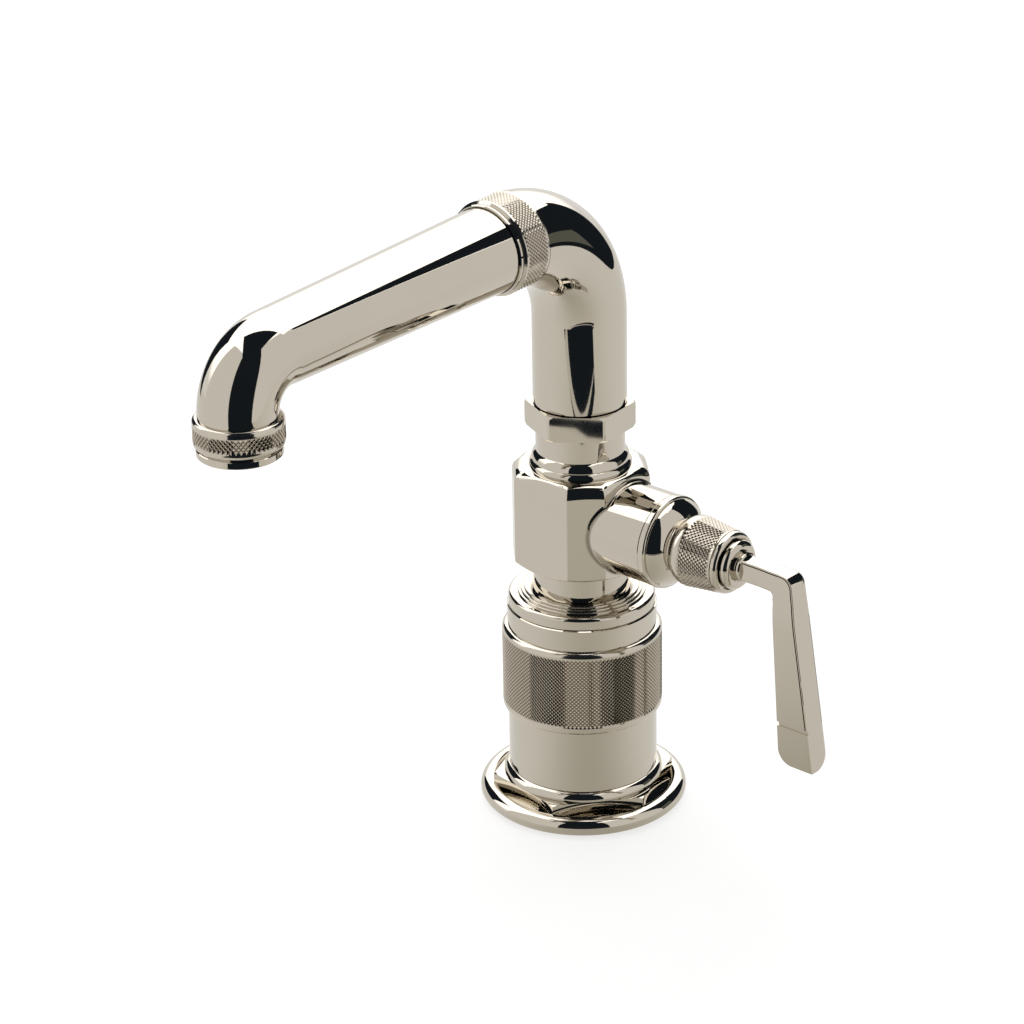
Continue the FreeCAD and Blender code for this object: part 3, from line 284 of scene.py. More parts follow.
class Knurl(Shape):
    """A turned piece with a band of diamonds, built round its own Z axis."""

    def __init__(self, teeth, depth=GROOVE_DEPTH):
        super().__init__()
        self.teeth = teeth
        self.count = 2 * teeth
        self.depth = depth

    def turned_point(self, radius, height, turn, depth=0.0):
        """A point at a number of teeth round the axis, sunk by a depth, with painted shade by
        how deep it is sunk.
        """
        angle = 2 * math.pi * turn / self.teeth
        r = radius - depth
        return self.point(r * math.cos(angle), r * math.sin(angle), height, depth / GROOVE_DEPTH)

    def ring(self, radius, height):
        return [self.turned_point(radius, height, k / 2) for k in range(self.count)]

    def turned(self, outline):
        """The rings of an open outline of (radius, height), with their faces."""
        rings = [self.ring(*place) for place in outline]
        for first, second in zip(rings, rings[1:]):
            self.band(first, second)
        return rings

    def diamonds(self, bottom, top, start, end):
        """The knurl between two rings.  start and end are their (radius, height)."""
        pitch = 2 * math.pi * start[0] / self.teeth
        steps = max(2, 2 * round((end[1] - start[1]) / pitch))
        rows = [bottom]
        for step in range(1, steps):
            radius, height = between(start, end, step / steps)
            row = [None] * self.count
            for k in range(step % 2, self.count, 2):
                row[k] = self.turned_point(radius, height, k / 2, self.depth)
            rows.append(row)
        rows.append(top)
        for step in range(1, steps):
            for k in range(1 - step % 2, self.count, 2):
                self.diamond(rows, step, k, start, end)

    def diamond(self, rows, step, k, start, end):
        """A diamond with a flat top among its four sunk corners.  Beside the first and the
        last row it also gets the half diamonds that close the band."""
        steps = len(rows) - 1
        radius, height = between(start, end, step / steps)
        reach = FLAT_SHARE / 2
        rise = FLAT_SHARE * (end[1] - start[1]) / steps
        right = self.turned_point(radius, height, k / 2 + reach)
        left = self.turned_point(radius, height, k / 2 - reach)
        upper = self.turned_point(radius, height + rise, k / 2)
        lower = self.turned_point(radius, height - rise, k / 2)
        after, before = (k + 1) % self.count, (k - 1) % self.count
        east, west = rows[step][after], rows[step][before]
        north, south = rows[step + 1][k], rows[step - 1][k]
        self.face((south, east, right, lower), True)
        self.face((east, north, upper, right), True)
        self.face((north, west, left, upper), True)
        self.face((west, south, lower, left), True)
        self.face((lower, right, upper, left), True)
        if step == 1:
            self.face((rows[0][before], south, west), True)
            self.face((south, rows[0][after], east), True)
        if step == steps - 1:
            self.face((rows[steps][after], north, east), True)
            self.face((north, rows[steps][before], west), True)


def turned_piece(name, outline, node, body):
    """A plain turned piece about the Z axis.  The outline is closed, in millimetres."""
    shape = Knurl(TURNED_SIDES)
    shape.closed([shape.ring(r * MM, z * MM) for r, z in outline])
    even_normals(shape.build(name, Matrix.Identity(4), node, body, "polished_nickel"))


def flange_rim():
    """The flange, with a full round rim that turns in again below."""
    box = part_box("base_flange")
    outer, top = box[1].x / MM, box[1].z / MM
    bore = 22.06
    plate = 3.4               # thickness inside the rim
    foot = outer - 3.1        # where the rim stands on the deck
    inner = outer - 5.1       # where the rim comes down to the plate
    widest = 2.7              # height of the rim's widest place
    under = 2.35              # rounding below that place
    over = top - widest       # rounding above it
    crown = outer - over
    outline = [(bore, 0), (foot, 0), (foot, widest - under)]
    outline += arc((outer - under, widest), under, -90, 0, 10)
    outline += arc((crown, widest), over, 0, 90, 14)[1:]
    outline += quarter((crown, top), (inner, plate), 8, True)[1:]
    outline.append((bore, plate))
    turned_piece("flange_rim", outline, "base_flange", "base")


def column_foot():
    """The quarter-round bead at the foot of the column."""
    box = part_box("base_bead")
    outer = box[1].x / MM
    bottom, top = box[0].z / MM, box[1].z / MM
    bore = 21.3
    crown = 21.8
    bevel_in, bevel_up = 0.15, 0.1
    outline = [(bore, bottom), (outer - bevel_in, bottom)]
    outline += quarter((outer, bottom + bevel_up), (crown, top), 12, False)
    outline.append((bore, top))
    turned_piece("column_foot", outline, "base_bead", "base")


def seat_rings():
    """The collar, with its two rounded seat rings."""
    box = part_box("swivel_collar")
    outer = box[1].x / MM
    bottom, top = box[0].z / MM, box[1].z / MM
    bore = 8.3
    shank = 10.6              # below the rings, inside the block
    neck = 11.9               # above the rings, inside the nut
    seat = outer - 2.1
    rings_low = bottom + 10.0
    rings_high = top - 5.0
    # the two rings, as steps from (outer, rings_low)
    rings = [(0, 0), (0, 0.35), (-0.12, 0.75), (-0.33, 1.15), (-0.6, 1.5), (-0.85, 1.72),
             (-0.85, 1.9), (-0.75, 1.98), (-0.78, 2.35), (-0.88, 2.8), (-1.06, 3.3),
             (-1.32, 3.8), (-1.64, 4.2), (-2.1, 4.6)]
    outline = [(bore, bottom), (shank, bottom), (shank, rings_low)]
    outline += [(outer + inward, rings_low + rise) for inward, rise in rings]
    outline += [(seat, rings_high), (neck, rings_high), (neck, top), (bore, top)]
    turned_piece("seat_rings", outline, "swivel_collar", "base")


def cap_steps():
    """The column's cap: a rounded shoulder, three fine rounded steps and a shallow dish."""
    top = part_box("column_cap")[1].z / MM
    base = top - 5.7
    bore = 14.75
    socket = 18.0             # the recess that the column's core stands in
    socket_top = base + 1.9
    skirt = 22.3
    bevel = 0.3
    shoulder = 1.2            # rounding from the skirt into the top
    shoulder_middle = base + 2.8
    step_reach, step_in, step_rise = 19.5, 0.95, 0.6
    step_round, step_foot = 0.32, 0.28
    dish = [(16.8, 0.0), (16.1, 0.08), (15.4, 0.32), (bore, 0.6)]     # (radius, depth)
    outline = [(bore, socket_top), (socket, socket_top), (socket, base)]
    outline += [(skirt - bevel, base), (skirt, base + bevel)]
    outline += arc((skirt - shoulder, shoulder_middle), shoulder, 0, 84, 8)
    for k in range(3):
        reach = step_reach - step_in * k
        foot = top - step_rise * (3 - k)
        outline.append((reach, foot))
        outline += arc((reach - step_round, foot + step_foot), step_round, 0, 90, 5)
    outline += [(r, top - depth) for r, depth in dish]
    turned_piece("cap_steps", outline, "column_cap", "base")


def grip(name, knurl, lower, upper, place, node, body):
    """A knurled ring.  Its diamonds lie between the end of the lower outline and the start
    of the upper one."""
    bottom_ring = knurl.turned(lower)[-1]
    top_ring = knurl.turned(upper)[0]
    knurl.diamonds(bottom_ring, top_ring, lower[-1], upper[0])
    knurl.build(name, place, node, body, "knurled_nickel")


def column_grip():
    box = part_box("knurled_column_ring")
    outer = box[1].x
    bottom, top = box[0].z, box[1].z
    bore = 21.25 * MM
    lower_edge = 1.3 * MM
    upper_edge = 1.8 * MM
    band_low = bottom + 2.3 * MM
    band_high = top - 1.95 * MM
    lower = [(bore, top), (bore, bottom)]
    lower += quarter((outer - lower_edge, bottom), (outer, bottom + lower_edge), 6, True)
    lower.append((outer, band_low))
    upper = [(outer, band_high)]
    upper += quarter((outer, top - upper_edge), (outer - upper_edge, top), 8, False)
    upper.append((bore, top))
    place = Matrix.Identity(4)
    grip("column_grip", Knurl(124), lower, upper, place, "knurled_column_ring", "base")


def outlet_grip():
    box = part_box("knurled_outlet_ring")
    outer = box[1].x
    bottom, top = box[0].z, box[1].z
    middle = (box[0].y + box[1].y) / 2
    bore = 10.75 * MM
    edge = 1.1 * MM
    foot = outer - 0.75 * edge
    band_low = bottom + 1.6 * MM
    band_high = top - 1.9 * MM
    lower = [(bore, top), (bore, bottom)]
    lower += quarter((foot, bottom), (outer, bottom + edge), 6, True)
    lower.append((outer, band_low))
    upper = [(outer, band_high)]
    upper += quarter((outer, top - edge), (outer - edge, top), 6, False)
    upper.append((bore, top))
    place = Matrix.Translation((0, middle, 0))
    grip("outlet_grip", Knurl(60), lower, upper, place, "knurled_outlet_ring", "spout")


def union_grip():
    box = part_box("knurled_union_ring")
    arm_slope = math.radians(2.1)
    arm_direction = Vector((0, -math.cos(arm_slope), -math.sin(arm_slope)))
    outer = (box[1].x - box[0].x) / 2 - 0.02 * MM     # keeps clear of the object's box
    bore = 12.8 * MM
    mouth = 12.95 * MM        # the wider bore from the seat on
    seat = 6.2 * MM
    length = 10.6 * MM
    edge = 0.7 * MM
    back_edge = 0.4 * edge
    band_low = 0.9 * MM
    band_high = length - 1.2 * MM
    lower = [(mouth, seat), (bore, seat), (bore, 0), (outer - back_edge, 0),
             (outer, back_edge), (outer, band_low)]
    upper = [(outer, band_high), (outer, length - edge), (outer - edge, length),
             (mouth, length), (mouth, seat)]
    spin = arm_direction.to_track_quat("Z", "X").to_matrix().to_4x4()
    back = (box[0] + box[1]) / 2 - arm_direction * length / 2
    place = Matrix.Translation(back) @ spin
    knurl = Knurl(70, 0.7 * GROOVE_DEPTH)
    grip("union_grip", knurl, lower, upper, place, "knurled_union_ring", "spout")


def hub_grip():
    """The lever's hub: a knurled cone, with a fine line before its rounded nose."""
    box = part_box("lever_hub")
    start, end = box[0].x, box[1].x
    widest = (box[1].y - box[0].y) / 2
    back = 8.8 * MM
    front = 9.55 * MM
    flare = start + 3.3 * MM          # where the rounding at the back ends
    nose = end - 1.8 * MM
    margin = 0.5 * MM                 # from the knurl to the plain ends
    line_radius = front - 0.35 * MM
    nose_radius = front - 0.05 * MM
    bore = 4.04 * MM
    recess = 8.0 * MM
    floor = end - 1.2 * MM

    def cone(x):
        return (widest + (front - widest) * (x - flare) / (nose - flare), x)

    lower = [(bore, floor), (bore, start)]
    lower += quarter((back, start), (widest, flare), 8, True) + [cone(flare + margin)]
    upper = [cone(nose - margin), (front, nose - 0.25 * MM),
             (line_radius, nose - 0.15 * MM), (line_radius, nose)]
    upper += quarter((nose_radius, nose + 0.1 * MM), (8.4 * MM, end), 6, False)
    upper += [(recess, end), (recess, floor), (bore, floor)]
    place = Matrix.Translation((0, 0, branch_height)) @ Matrix.Rotation(math.pi / 2, 4, "Y")
    knurl = Knurl(50, 0.75 * GROOVE_DEPTH)
    grip("hub_grip", knurl, lower, upper, place, "lever_hub", "lever")


# ---- valve block ------------------------------------------------------------------------
class Block(Shape):
    """The block with its neck and branch, in millimetres.  Its top and bottom are turned off
    to a flat cone, and the turned edge is rolled over into the sides."""

    ACROSS = 18.4             # from the axis to a main flat
    CORNER = 20.33            # from the axis to a flat across a corner
    BREAK = 0.07              # softness of the edges between the flats
    SEAT = 17.6               # radius where the cones start
    SEAT_MARGIN = 0.08        # least width of a cone
    HEIGHT = 31.9
    SIDE_ROWS = (12, 16, 20, 24)      # depths of the rows of points down the sides
    NECK = 14.7
    NECK_IN_CAP = 3.8
    BORE = 10.62
    UPPER_EDGE = (20, 4.0)    # fall of the cone in degrees, and the largest rolling radius
    LOWER_EDGE = (30, 0.7)
    SMALLEST_ROLL = 0.25
    TURNS = 720
    BRANCH = 14.0             # radius of the branch
    BRANCH_ROOT = 14.0        # where it starts inside the block
    BRANCH_MIDDLE = 24.0
    BRANCH_BORE = 11.02
    BRANCH_BEVEL = 0.15
    BRANCH_TURNS = 180
    FILLET = 1.1
    FILLET_SHADE = 0.75        # painted shade, in its middle
    FILLET_SUNK = 0.5         # how far its closed side lies inside the block
    FILLET_INSIDE = 0.96      # and inside the branch, as a share of its radius
    FILLET_TURNS = 240

    def __init__(self):
        super().__init__()
        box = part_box("valve_body")
        self.top = box[1].z / MM
        self.low = self.top - self.HEIGHT
        self.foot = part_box("column_cap")[1].z / MM - self.NECK_IN_CAP
        self.axis = branch_height / MM
        self.end = box[1].x / MM

    def add(self, x, y, z, painted_shade=0.0):
        return self.point(x * MM, y * MM, z * MM, painted_shade)

    def profiles(self, rows):
        """Faces between closed profiles that stand side by side round an axis."""
        self.closed(list(zip(*rows)))

    def side(self, turn):
        """Distance from the axis to the side faces, with the corners just broken."""
        total = 0.0
        for k in range(8):
            lean = math.cos(turn - math.pi * k / 4)
            if lean > 0.5:
                flat = self.CORNER if k % 2 else self.ACROSS
                total += math.exp(-flat / lean / self.BREAK)
        return -self.BREAK * math.log(total)

    def shoulder(self, edge, fall, largest):
        """Points from the cone into the side, as (radius, depth below the face)."""
        slope = math.radians(fall)
        room = edge - self.SEAT - self.SEAT_MARGIN
        room = room / math.cos(slope) / math.tan((math.pi / 2 - slope) / 2)
        roll = max(self.SMALLEST_ROLL, min(largest, room))
        steep = 90 - fall
        start = edge - roll + roll * math.cos(math.radians(steep))
        middle = (start - self.SEAT) * math.tan(slope) + roll * math.sin(math.radians(steep))
        rolled = arc((edge - roll, 0), roll, steep, 0, 12)
        return [(self.SEAT, 0.0)] + [(r, middle - rise) for r, rise in rolled]

    def outline(self, turn):
        edge = self.side(turn)
        upper = self.shoulder(edge, *self.UPPER_EDGE)
        lower = self.shoulder(edge, *self.LOWER_EDGE)
        points = [(self.BORE, self.top)]
        points += [(r, self.top - depth) for r, depth in upper]
        points += [(edge, self.top - depth) for depth in self.SIDE_ROWS]
        points += [(r, self.low + depth) for r, depth in reversed(lower)]
        points += [(self.NECK, self.low), (self.NECK, self.foot), (self.BORE, self.foot)]
        return points

    def body(self):
        rows = []
        for k in range(self.TURNS):
            turn = 2 * math.pi * k / self.TURNS
            rows.append([self.add(r * math.cos(turn), r * math.sin(turn), z)
                         for r, z in self.outline(turn)])
        self.profiles(rows)

    def branch(self):
        walls = [(self.BRANCH_BORE, self.BRANCH_ROOT), (self.BRANCH_BORE, self.end),
                 (self.BRANCH - self.BRANCH_BEVEL, self.end),
                 (self.BRANCH, self.end - self.BRANCH_BEVEL),
                 (self.BRANCH, self.BRANCH_MIDDLE), (self.BRANCH, self.BRANCH_ROOT)]
        rows = []
        for k in range(self.BRANCH_TURNS):
            turn = 2 * math.pi * k / self.BRANCH_TURNS
            rows.append([self.add(x, r * math.cos(turn), self.axis + r * math.sin(turn))
                         for r, x in walls])
        self.profiles(rows)

    def fillet(self):
        """The small hollow where the branch leaves the block, with painted shade along it."""
        size = self.FILLET
        rows = []
        for k in range(self.FILLET_TURNS):
            turn = 2 * math.pi * k / self.FILLET_TURNS
            y, rise = self.BRANCH * math.cos(turn), self.BRANCH * math.sin(turn)
            face = Vector((1, 0, 0))
            x = self.ACROSS
            slant = self.CORNER * math.sqrt(2) - abs(y)
            if slant < x:
                x = slant
                face = Vector((1, math.copysign(1, y), 0)).normalized()
            away = Vector((0, math.cos(turn), math.sin(turn)))
            away = (away - face * away.dot(face)).normalized()
            corner = Vector((x, y, self.axis + rise))
            row = []
            for step in range(8):
                t = math.pi / 2 * step / 7
                along = Vector((size * (1 - math.sin(t)), 0, 0))
                place = corner + along + away * size * (1 - math.cos(t))
                row.append(self.add(*place, self.FILLET_SHADE * math.sin(2 * t)))
            # two more points inside the block and the branch close the profile
            row.append(self.add(*(corner + away * 0.5 * size - face * self.FILLET_SUNK)))
            row.append(self.add(corner.x - 0.6, corner.y * self.FILLET_INSIDE,
                                self.axis + rise * self.FILLET_INSIDE))
            rows.append(row)
        self.profiles(rows)


def valve_block():
    block = Block()
    block.body()
    block.branch()
    block.fillet()
    place = Matrix.Identity(4)
    even_normals(block.build("valve_block", place, "valve_body", "base", "polished_nickel"))


# ---- lever ------------------------------------------------------------------------------
class Blade(Shape):
    """The lever as a row of cross-sections, from the boss to the tip, in millimetres.
    Places are (x, height above the branch's axis)."""

    HALF = 4.6                # half of the blade's width
    STEM_HALF = 3.1
    TOP = 3.25                # of the stem
    HEEL = -3.25              # the stem's lower side
    REACH = 75.7              # the blade's inner face at the heel
    OUTER_REACH = 83.1        # its outer face there
    DROP = -56.3              # the tip
    TIP_DEPTH = 12.5          # from the inner to the outer face at the tip
    LEAN = math.tan(math.radians(3.8))
    ELBOW = 3.9               # rounding of the outer top corner
    CROOK = 1.6               # rounding of the inner corner
    STEM_IN_BOSS = 0.02
    BLADE_START = 0.6         # the first level cut, below the inner corner
    STEM_ROUND = 0.9          # rounding of the front edge on the inner side, on the stem
    INNER_ROUND = 0.4         # the same on the blade
    OUTER_ROUND = 0.3         # rounding of the front edge on the outer side
    STEM_UPPER_ROUND = 1.3    # roundings of the back edges on the stem
    STEM_LOWER_ROUND = 1.2
    BACK_ROUND = 2.8          # of both on the blade
    ROUND_ROOM = 0.46         # the most that a rounding takes of a section's smaller side
    LINE_INSET = 0.4          # the line cut along the front, from the outer face
    LINE_WIDTH = 0.4
    LINE_DEPTH = 0.4
    STEM_LINE_DEPTH = 0.3
    FAINT_LINE = 0.02         # depth of the line on the end of the blade
    CROSS_LINE = 12.6         # the cut across the blade, above the tip
    CROSS_LINE_HALF = 0.6     # half of its width
    CROSS_LINE_DEPTH = 0.4
    TIP_ROUND = 4.5
    SWELL_RUN = 20.0          # length over which the stem grows into the blade's width
    RUN_TO_ELBOW = 6.0        # the part of that length on the stem
    RUN_OF_ELBOW = 6.0        # and the part round the elbow

    def __init__(self):
        super().__init__()
        height = self.HEEL - self.DROP
        tip_inner = self.REACH + height * self.LEAN
        self.outer_lean = (tip_inner + self.TIP_DEPTH - self.OUTER_REACH) / height
        self.before = None

    def inner(self, z):
        return self.REACH + (self.HEEL - z) * self.LEAN

    def outer(self, z):
        return self.OUTER_REACH + (self.HEEL - z) * self.outer_lean

    def section(self, inner, outer, front, back, rounds, line):
        """One rounded outline between two places.  rounds are the radii of its corners:
        inner front, outer front, outer back, inner back."""
        start = Vector((inner[0], 0, inner[1]))
        along = Vector((outer[0], 0, outer[1])) - start
        depth = along.length
        along.normalize()
        room = self.ROUND_ROOM * min(depth, back - front)
        a, b, c, d = [min(radius, room) for radius in rounds]
        line_end = depth - self.LINE_INSET
        line_start = line_end - self.LINE_WIDTH
        flat = arc((a, front + a), a, 180, 270, 5)
        flat += [(line_start, front), (line_start, front + line),
                 (line_end, front + line), (line_end, front)]
        flat += arc((depth - b, front + b), b, 270, 360, 3)
        flat += arc((depth - c, back - c), c, 0, 90, 8)
        flat += arc((d, back - d), d, 90, 180, 8)
        ring = []
        for t, y in flat:
            place = start + along * t
            # painted shade lies in the line and on the back edge behind it
            near = abs(t - line_end + self.LINE_WIDTH / 2) < self.LINE_WIDTH
            deep = near and line > 0.1 and y > front + 0.1
            ring.append(self.point(place.x * MM, y * MM, branch_height + place.z * MM,
                                   1.0 if deep else 0.0))
        if self.before:
            self.band(self.before, ring)
        else:
            self.face(tuple(reversed(ring)))
        self.before = ring

    def sides(self, run):
        """The half width and the two back radii at a distance past the plain stem."""
        t = min(max(run / self.SWELL_RUN, 0.0), 1.0)
        grown = t * t * (3 - 2 * t)
        return (self.STEM_HALF + (self.HALF - self.STEM_HALF) * grown,
                self.STEM_UPPER_ROUND + (self.BACK_ROUND - self.STEM_UPPER_ROUND) * grown,
                self.STEM_LOWER_ROUND + (self.BACK_ROUND - self.STEM_LOWER_ROUND) * grown)

    def stem(self, start):
        turn = self.REACH - self.CROOK
        for k in range(24):
            x = start + (turn - start) * k / 24
            half, upper, lower = self.sides(x - turn + self.RUN_TO_ELBOW)
            rounds = (self.STEM_ROUND, self.OUTER_ROUND, upper, lower)
            self.section((x, self.HEEL), (x, self.TOP), -half, half, rounds,
                         self.STEM_LINE_DEPTH)

    def elbow(self):
        """The turn from the stem into the blade, as a fan round the inner corner."""
        turn = self.REACH - self.CROOK
        lean = math.atan(self.outer_lean)
        low = self.HEEL - self.CROOK
        reach = self.outer(self.TOP) - self.ELBOW * math.tan((math.pi / 2 - lean) / 2)
        corner = arc((reach, self.TOP - self.ELBOW), self.ELBOW, 90, math.degrees(lean), 12)
        path = [(turn, self.TOP)] + corner + [(self.outer(low), low)]
        lengths = [0.0]
        for first, second in zip(path, path[1:]):
            lengths.append(lengths[-1] + math.dist(first, second))
        for stop in sorted(set([lengths[-1] * k / 8 for k in range(9)] + lengths)):
            share = stop / lengths[-1]
            angle = math.pi / 2 * share
            inner = (turn + self.CROOK * math.sin(angle), low + self.CROOK * math.cos(angle))
            half, upper, lower = self.sides(self.RUN_TO_ELBOW + self.RUN_OF_ELBOW * share)
            inner_round = self.STEM_ROUND - (self.STEM_ROUND - self.INNER_ROUND) * share
            rounds = (inner_round, self.OUTER_ROUND, upper, lower)
            self.section(inner, self.on_path(path, lengths, stop), -half, half, rounds,
                         self.LINE_DEPTH)

    @staticmethod
    def on_path(path, lengths, stop):
        """The place at a distance along a path."""
        for k in range(len(path) - 1):
            if stop <= lengths[k + 1] + 1e-9:
                share = (stop - lengths[k]) / (lengths[k + 1] - lengths[k])
                return between(path[k], path[k + 1], share)
        return path[-1]

    def slice(self, z, line, sunk=0.0):
        """A level cut through the blade.  sunk sets the front and the inner face back."""
        run = self.RUN_TO_ELBOW + self.RUN_OF_ELBOW + self.HEEL - self.CROOK - z
        half, upper, lower = self.sides(run)
        rounds = (self.INNER_ROUND, self.OUTER_ROUND, upper, lower)
        self.section((self.inner(z) + sunk, z), (self.outer(z), z), -half + sunk, half,
                     rounds, line)

    def run(self):
        """The blade from the elbow to the cut across it."""
        start = self.HEEL - self.CROOK - self.BLADE_START
        cut_top = self.DROP + self.CROSS_LINE + self.CROSS_LINE_HALF
        cut_low = cut_top - 2 * self.CROSS_LINE_HALF
        for k in range(25):
            self.slice(start + (cut_top - start) * k / 24, self.LINE_DEPTH)
        self.slice(cut_top, self.FAINT_LINE, self.CROSS_LINE_DEPTH)
        self.slice(cut_low, self.FAINT_LINE, self.CROSS_LINE_DEPTH)
        self.slice(cut_low, self.FAINT_LINE)
        tip = self.DROP + self.TIP_ROUND
        for k in range(1, 4):
            self.slice(cut_low + (tip - cut_low) * k / 4, self.FAINT_LINE)

    def tip(self):
        rounds = (self.INNER_ROUND, self.OUTER_ROUND, self.BACK_ROUND, self.BACK_ROUND)
        for k in range(13):
            t = math.pi / 2 * k / 12
            z = self.DROP + self.TIP_ROUND * (1 - math.sin(t))
            drawn = self.TIP_ROUND * (1 - math.cos(t))
            self.section((self.inner(z) + drawn, z), (self.outer(z), z),
                         -self.HALF, self.HALF - drawn, rounds, self.FAINT_LINE)
        self.face(tuple(self.before))


def lever_blade():
    blade = Blade()
    blade.stem(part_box("lever_boss")[1].x / MM - blade.STEM_IN_BOSS)
    blade.elbow()
    blade.run()
    blade.tip()
    place = Matrix.Identity(4)
    even_normals(blade.build("lever_blade", place, "lever", "lever", "polished_nickel"))


# ---- studio -----------------------------------------------------------------------------
CAMERA_TURN = math.radians(42)        # the camera's direction, from -Y towards +X
CAMERA_RISE = math.radians(24.3479)
CAMERA_ROLL = math.radians(-1.0238)
CAMERA_DISTANCE = 1.09963
AIM_RIGHT = -0.0207217
AIM_HEIGHT = 0.0950105
SENSOR = 36.0                         # millimetres
LENS = 128.68                         # millimetres

FLOOR_HALF = 3
FLOOR_PAPER = (0.42, 0.42, 0.42)      # takes the object's shadow
FLOOR_LIFT = 0.69                     # makes the seen floor white round the shadow
# the table in the metal's reflections, with a painted shadow: darkest in front of the faucet,
# and close to it
TABLE_TONE = 0.87
TABLE_SHADOW = 0.34                      # at the faucet
TABLE_SHADOW_SLOPE = -0.55               # per metre from it
TABLE_SHADOW_LEAST = 0.12
TABLE_SHADOW_TURN = math.radians(7)      # from the camera's direction
TABLE_BRIGHT = (1, 0.99, 0.96)
TABLE_SHADOW_TINT = (1, 0.97, 0.86)

BACKDROP_RISE = (0.1, 0.36)           # sines of the heights over which it brightens
BACKDROP_GLOW = (1.0, 2.1)
WORLD_LIGHT = 0.7                     # on the object, where the backdrop isn't seen

# glowing cards that stand for what the nickel reflects: colour and strength
GLOWS = {
    "white_card": ((1.0, 0.985, 0.95), 0.88),
    "black_card": ((0.012, 0.016, 0.022), 1.0),
    "dim_card": ((0.13, 0.14, 0.12), 1.0),
    "table_paper": ((1.0, 0.97, 0.88), 0.66),
    "softbox_cloth": ((1.0, 1.0, 1.0), 2.3),
}
CEILING = 0.587
CARD_TOP = 1.0
GAP_LEFT = (-0.268, 0.5)              # ends of the dark opening that the camera looks through
GAP_RIGHT = (0.24, 0.5)
TABLE_SIDE = 0.64
# places in the studio are (across, front)
UPRIGHT_CARDS = [
    # name, start, end, bottom, top, glow
    ("front_gap", GAP_LEFT, GAP_RIGHT, 0, CARD_TOP, "black_card"),
    ("front_left_card", (-TABLE_SIDE, 0.0), GAP_LEFT, 0, CARD_TOP, "white_card"),
    ("front_right_card", GAP_RIGHT, (TABLE_SIDE, 0.004), 0, CARD_TOP, "white_card"),
    ("right_gap", (TABLE_SIDE, 0.0), (TABLE_SIDE, -0.85), 0, CARD_TOP, "black_card"),
    ("dim_wall", (TABLE_SIDE - 0.01, 0.0), (TABLE_SIDE - 0.01, -0.19), 0.066, 0.244, "dim_card"),
    ("left_gap", (-0.572, -0.258), (-0.4155, -0.737), 0.06, 0.6, "black_card"),
]
TABLE_END = [(-0.3, 0.335), (-0.073, 0.309), (-0.058, 0.3075), (-0.052, 0.3), (0.0, 0.296),
             (0.2, 0.285), GAP_RIGHT, GAP_LEFT]
TABLE_LEDGE = [(-0.23, 0.318), (0.0, 0.313), (0.2, 0.307), (0.2, 0.311), (0.125, 0.318),
               (0.0, 0.3245), (-0.115, 0.333), (-0.17, 0.343), (-0.23, 0.366)]
CEILING_GAP = [(-0.25, 0.02), (0.17, 0.105), (0.085, 0.33), (-0.19, 0.33)]
SOFTBOX = [(-0.45, -0.03), (0.3, 0.127), (0.457, -0.5), (-0.29, -0.66)]
LEVEL_CARDS = [
    # name, corners, height, glow
    ("table_end", TABLE_END, 0.001, "black_card"),
    ("table_ledge", TABLE_LEDGE, 0.002, "table_paper"),
    ("ceiling_gap", CEILING_GAP, CEILING, "black_card"),
    ("softbox", SOFTBOX, CEILING, "softbox_cloth"),
]

right = Vector((math.cos(CAMERA_TURN), math.sin(CAMERA_TURN), 0))
toward = Vector((math.sin(CAMERA_TURN), -math.cos(CAMERA_TURN), 0))


def make_camera():
    data = bpy.data.cameras.new("camera")
    data.sensor_width = SENSOR
    data.lens = LENS
    data.clip_start = 0.01
    camera = bpy.data.objects.new("camera", data)
    scene.collection.objects.link(camera)
    scene.camera = camera
    back = toward * math.cos(CAMERA_RISE) + Vector((0, 0, math.sin(CAMERA_RISE)))
    up = back.cross(right)
    level = Matrix((right, up, back)).transposed()
    spin = Matrix.Rotation(CAMERA_ROLL, 3, "Z")
    aim = right * AIM_RIGHT + Vector((0, 0, AIM_HEIGHT))
    place = Matrix.Translation(aim + back * CAMERA_DISTANCE)
    camera.matrix_world = place @ (level @ spin).to_4x4()


def plane(name, corners, material):
    """A flat piece of the stage."""
    mesh = bpy.data.meshes.new(name)
    mesh.from_pydata([tuple(corner) for corner in corners], [], [range(len(corners))])
    mesh.materials.append(material)
    piece = bpy.data.objects.new(name, mesh)
    scene.collection.objects.link(piece)
    return piece


def bare_material(name):
    """A material without a shader, and its output node."""
    material = bpy.data.materials.new(name)
    material.use_nodes = True
    tree = material.node_tree
    tree.nodes.remove(tree.nodes["Principled BSDF"])
    return material, tree.nodes["Material Output"]


def emission(owner, inputs):
    return new_node(owner, "ShaderNodeEmission", inputs).outputs["Emission"]


def seen_rays(owner):
    """1 for rays from the camera, and for those reflected or let through by the object."""
    path = new_node(owner, "ShaderNodeLightPath")
    seen = maths(owner, "MAXIMUM", path.outputs["Is Camera Ray"], path.outputs["Is Glossy Ray"])
    return maths(owner, "MAXIMUM", seen, path.outputs["Is Transmission Ray"])


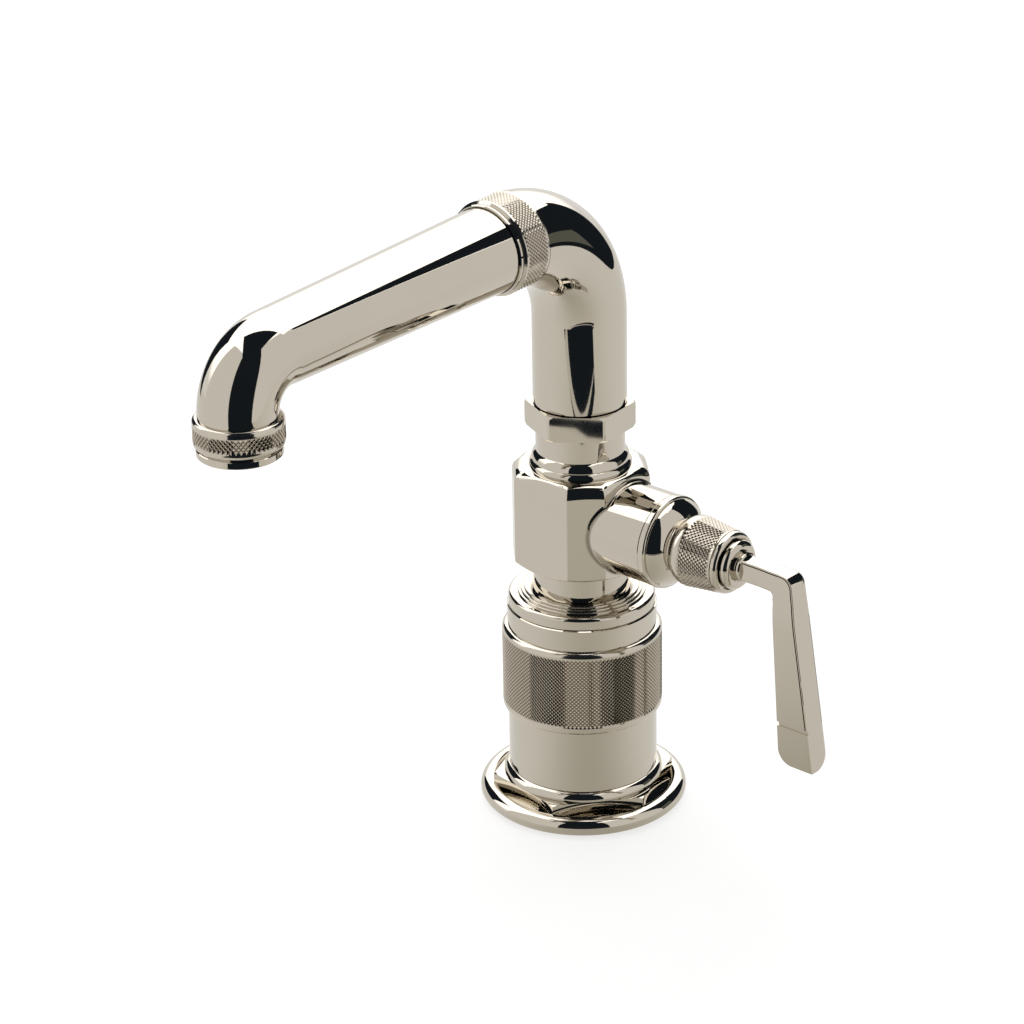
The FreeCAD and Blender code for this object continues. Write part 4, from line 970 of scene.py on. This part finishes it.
def table_look_with_shadow(material):
    """How much the table faces the camera's side, and how light it looks in the metal, with a
    painted shadow that darkens it in front of the faucet.
    """
    place = new_node(material, "ShaderNodeTexCoord").outputs["Object"]
    turn = CAMERA_TURN + TABLE_SHADOW_TURN
    ahead = new_node(material, "ShaderNodeVectorMath", {
        0: place, 1: (math.sin(turn), -math.cos(turn), 0)}, operation="DOT_PRODUCT")
    length = new_node(material, "ShaderNodeVectorMath", {0: place}, operation="LENGTH")
    distance = length.outputs["Value"]
    front = maths(material, "MAXIMUM", ahead.outputs["Value"], 0.0)
    facing = maths(material, "POWER", maths(material, "DIVIDE", front, distance), 2.0)
    slope = maths(material, "MULTIPLY", distance, TABLE_SHADOW_SLOPE)
    painted_shadow = maths(material, "ADD", slope, TABLE_SHADOW)
    painted_shadow = maths(material, "MAXIMUM", painted_shadow, TABLE_SHADOW_LEAST)
    painted_shadow = maths(material, "MULTIPLY", facing, painted_shadow)
    return facing, maths(material, "SUBTRACT", TABLE_TONE, painted_shadow)


def make_floor():
    material, output = bare_material("floor")
    paper = new_node(material, "ShaderNodeBsdfDiffuse", {"Color": opaque(FLOOR_PAPER)})
    lift = maths(material, "MULTIPLY", seen_rays(material), FLOOR_LIFT)
    seen = new_node(material, "ShaderNodeAddShader", {
        0: paper.outputs[0], 1: emission(material, {"Strength": lift})})
    # the table's tone in the metal, darkened by a painted shadow in front of the faucet
    facing, tone = table_look_with_shadow(material)
    tint = mixed_colour(material, facing, opaque(TABLE_BRIGHT), opaque(TABLE_SHADOW_TINT))
    mirrored = emission(material, {"Color": tint, "Strength": tone})
    path = new_node(material, "ShaderNodeLightPath")
    both = new_node(material, "ShaderNodeMixShader", {
        0: path.outputs["Is Glossy Ray"], 1: seen.outputs[0], 2: mirrored})
    feed(material, output, {"Surface": both.outputs[0]})
    half = FLOOR_HALF
    plane("floor", [(-half, -half, 0), (half, -half, 0), (half, half, 0), (-half, half, 0)],
          material)


def make_world():
    """A backdrop that brightens with height where it is seen, over a plain white light."""
    world = bpy.data.worlds.new("studio")
    scene.world = world
    world.use_nodes = True
    place = new_node(world, "ShaderNodeTexCoord").outputs["Generated"]
    axes = new_node(world, "ShaderNodeSeparateXYZ", {"Vector": place})
    backdrop = map_range(world, axes.outputs["Z"], BACKDROP_RISE, BACKDROP_GLOW,
                         interpolation_type="SMOOTHSTEP")
    strength = map_range(world, seen_rays(world), (0, 1), (WORLD_LIGHT, backdrop))
    feed(world, world.node_tree.nodes["Background"], {
        "Color": (1, 1, 1, 1), "Strength": strength})


def spot(place, height):
    """A place in the studio: across to the camera's right, front towards the camera."""
    return right * place[0] + toward * place[1] + Vector((0, 0, height))


def card(name, corners, material):
    """A reflector or a black flag, which the camera doesn't see and which casts no shadow."""
    piece = plane(name, corners, material)
    piece.visible_camera = False
    piece.visible_shadow = False
    return piece


def make_cards():
    glows = {}
    for name, (colour, strength) in GLOWS.items():
        glows[name], output = bare_material(name)
        light = emission(glows[name], {"Color": opaque(colour), "Strength": strength})
        feed(glows[name], output, {"Surface": light})
    for name, start, end, bottom, top, glow in UPRIGHT_CARDS:
        corners = [spot(start, bottom), spot(end, bottom), spot(end, top), spot(start, top)]
        card(name, corners, glows[glow])
    for name, places, height, glow in LEVEL_CARDS:
        piece = card(name, [spot(place, height) for place in places], glows[glow])
        # the cards on the table take no light from the floor under them
        piece.visible_diffuse = height == CEILING


dress_nodes()
column_grip()
outlet_grip()
union_grip()
hub_grip()
flange_rim()
column_foot()
seat_rings()
cap_steps()
valve_block()
lever_blade()
make_camera()
make_floor()
make_world()
make_cards()
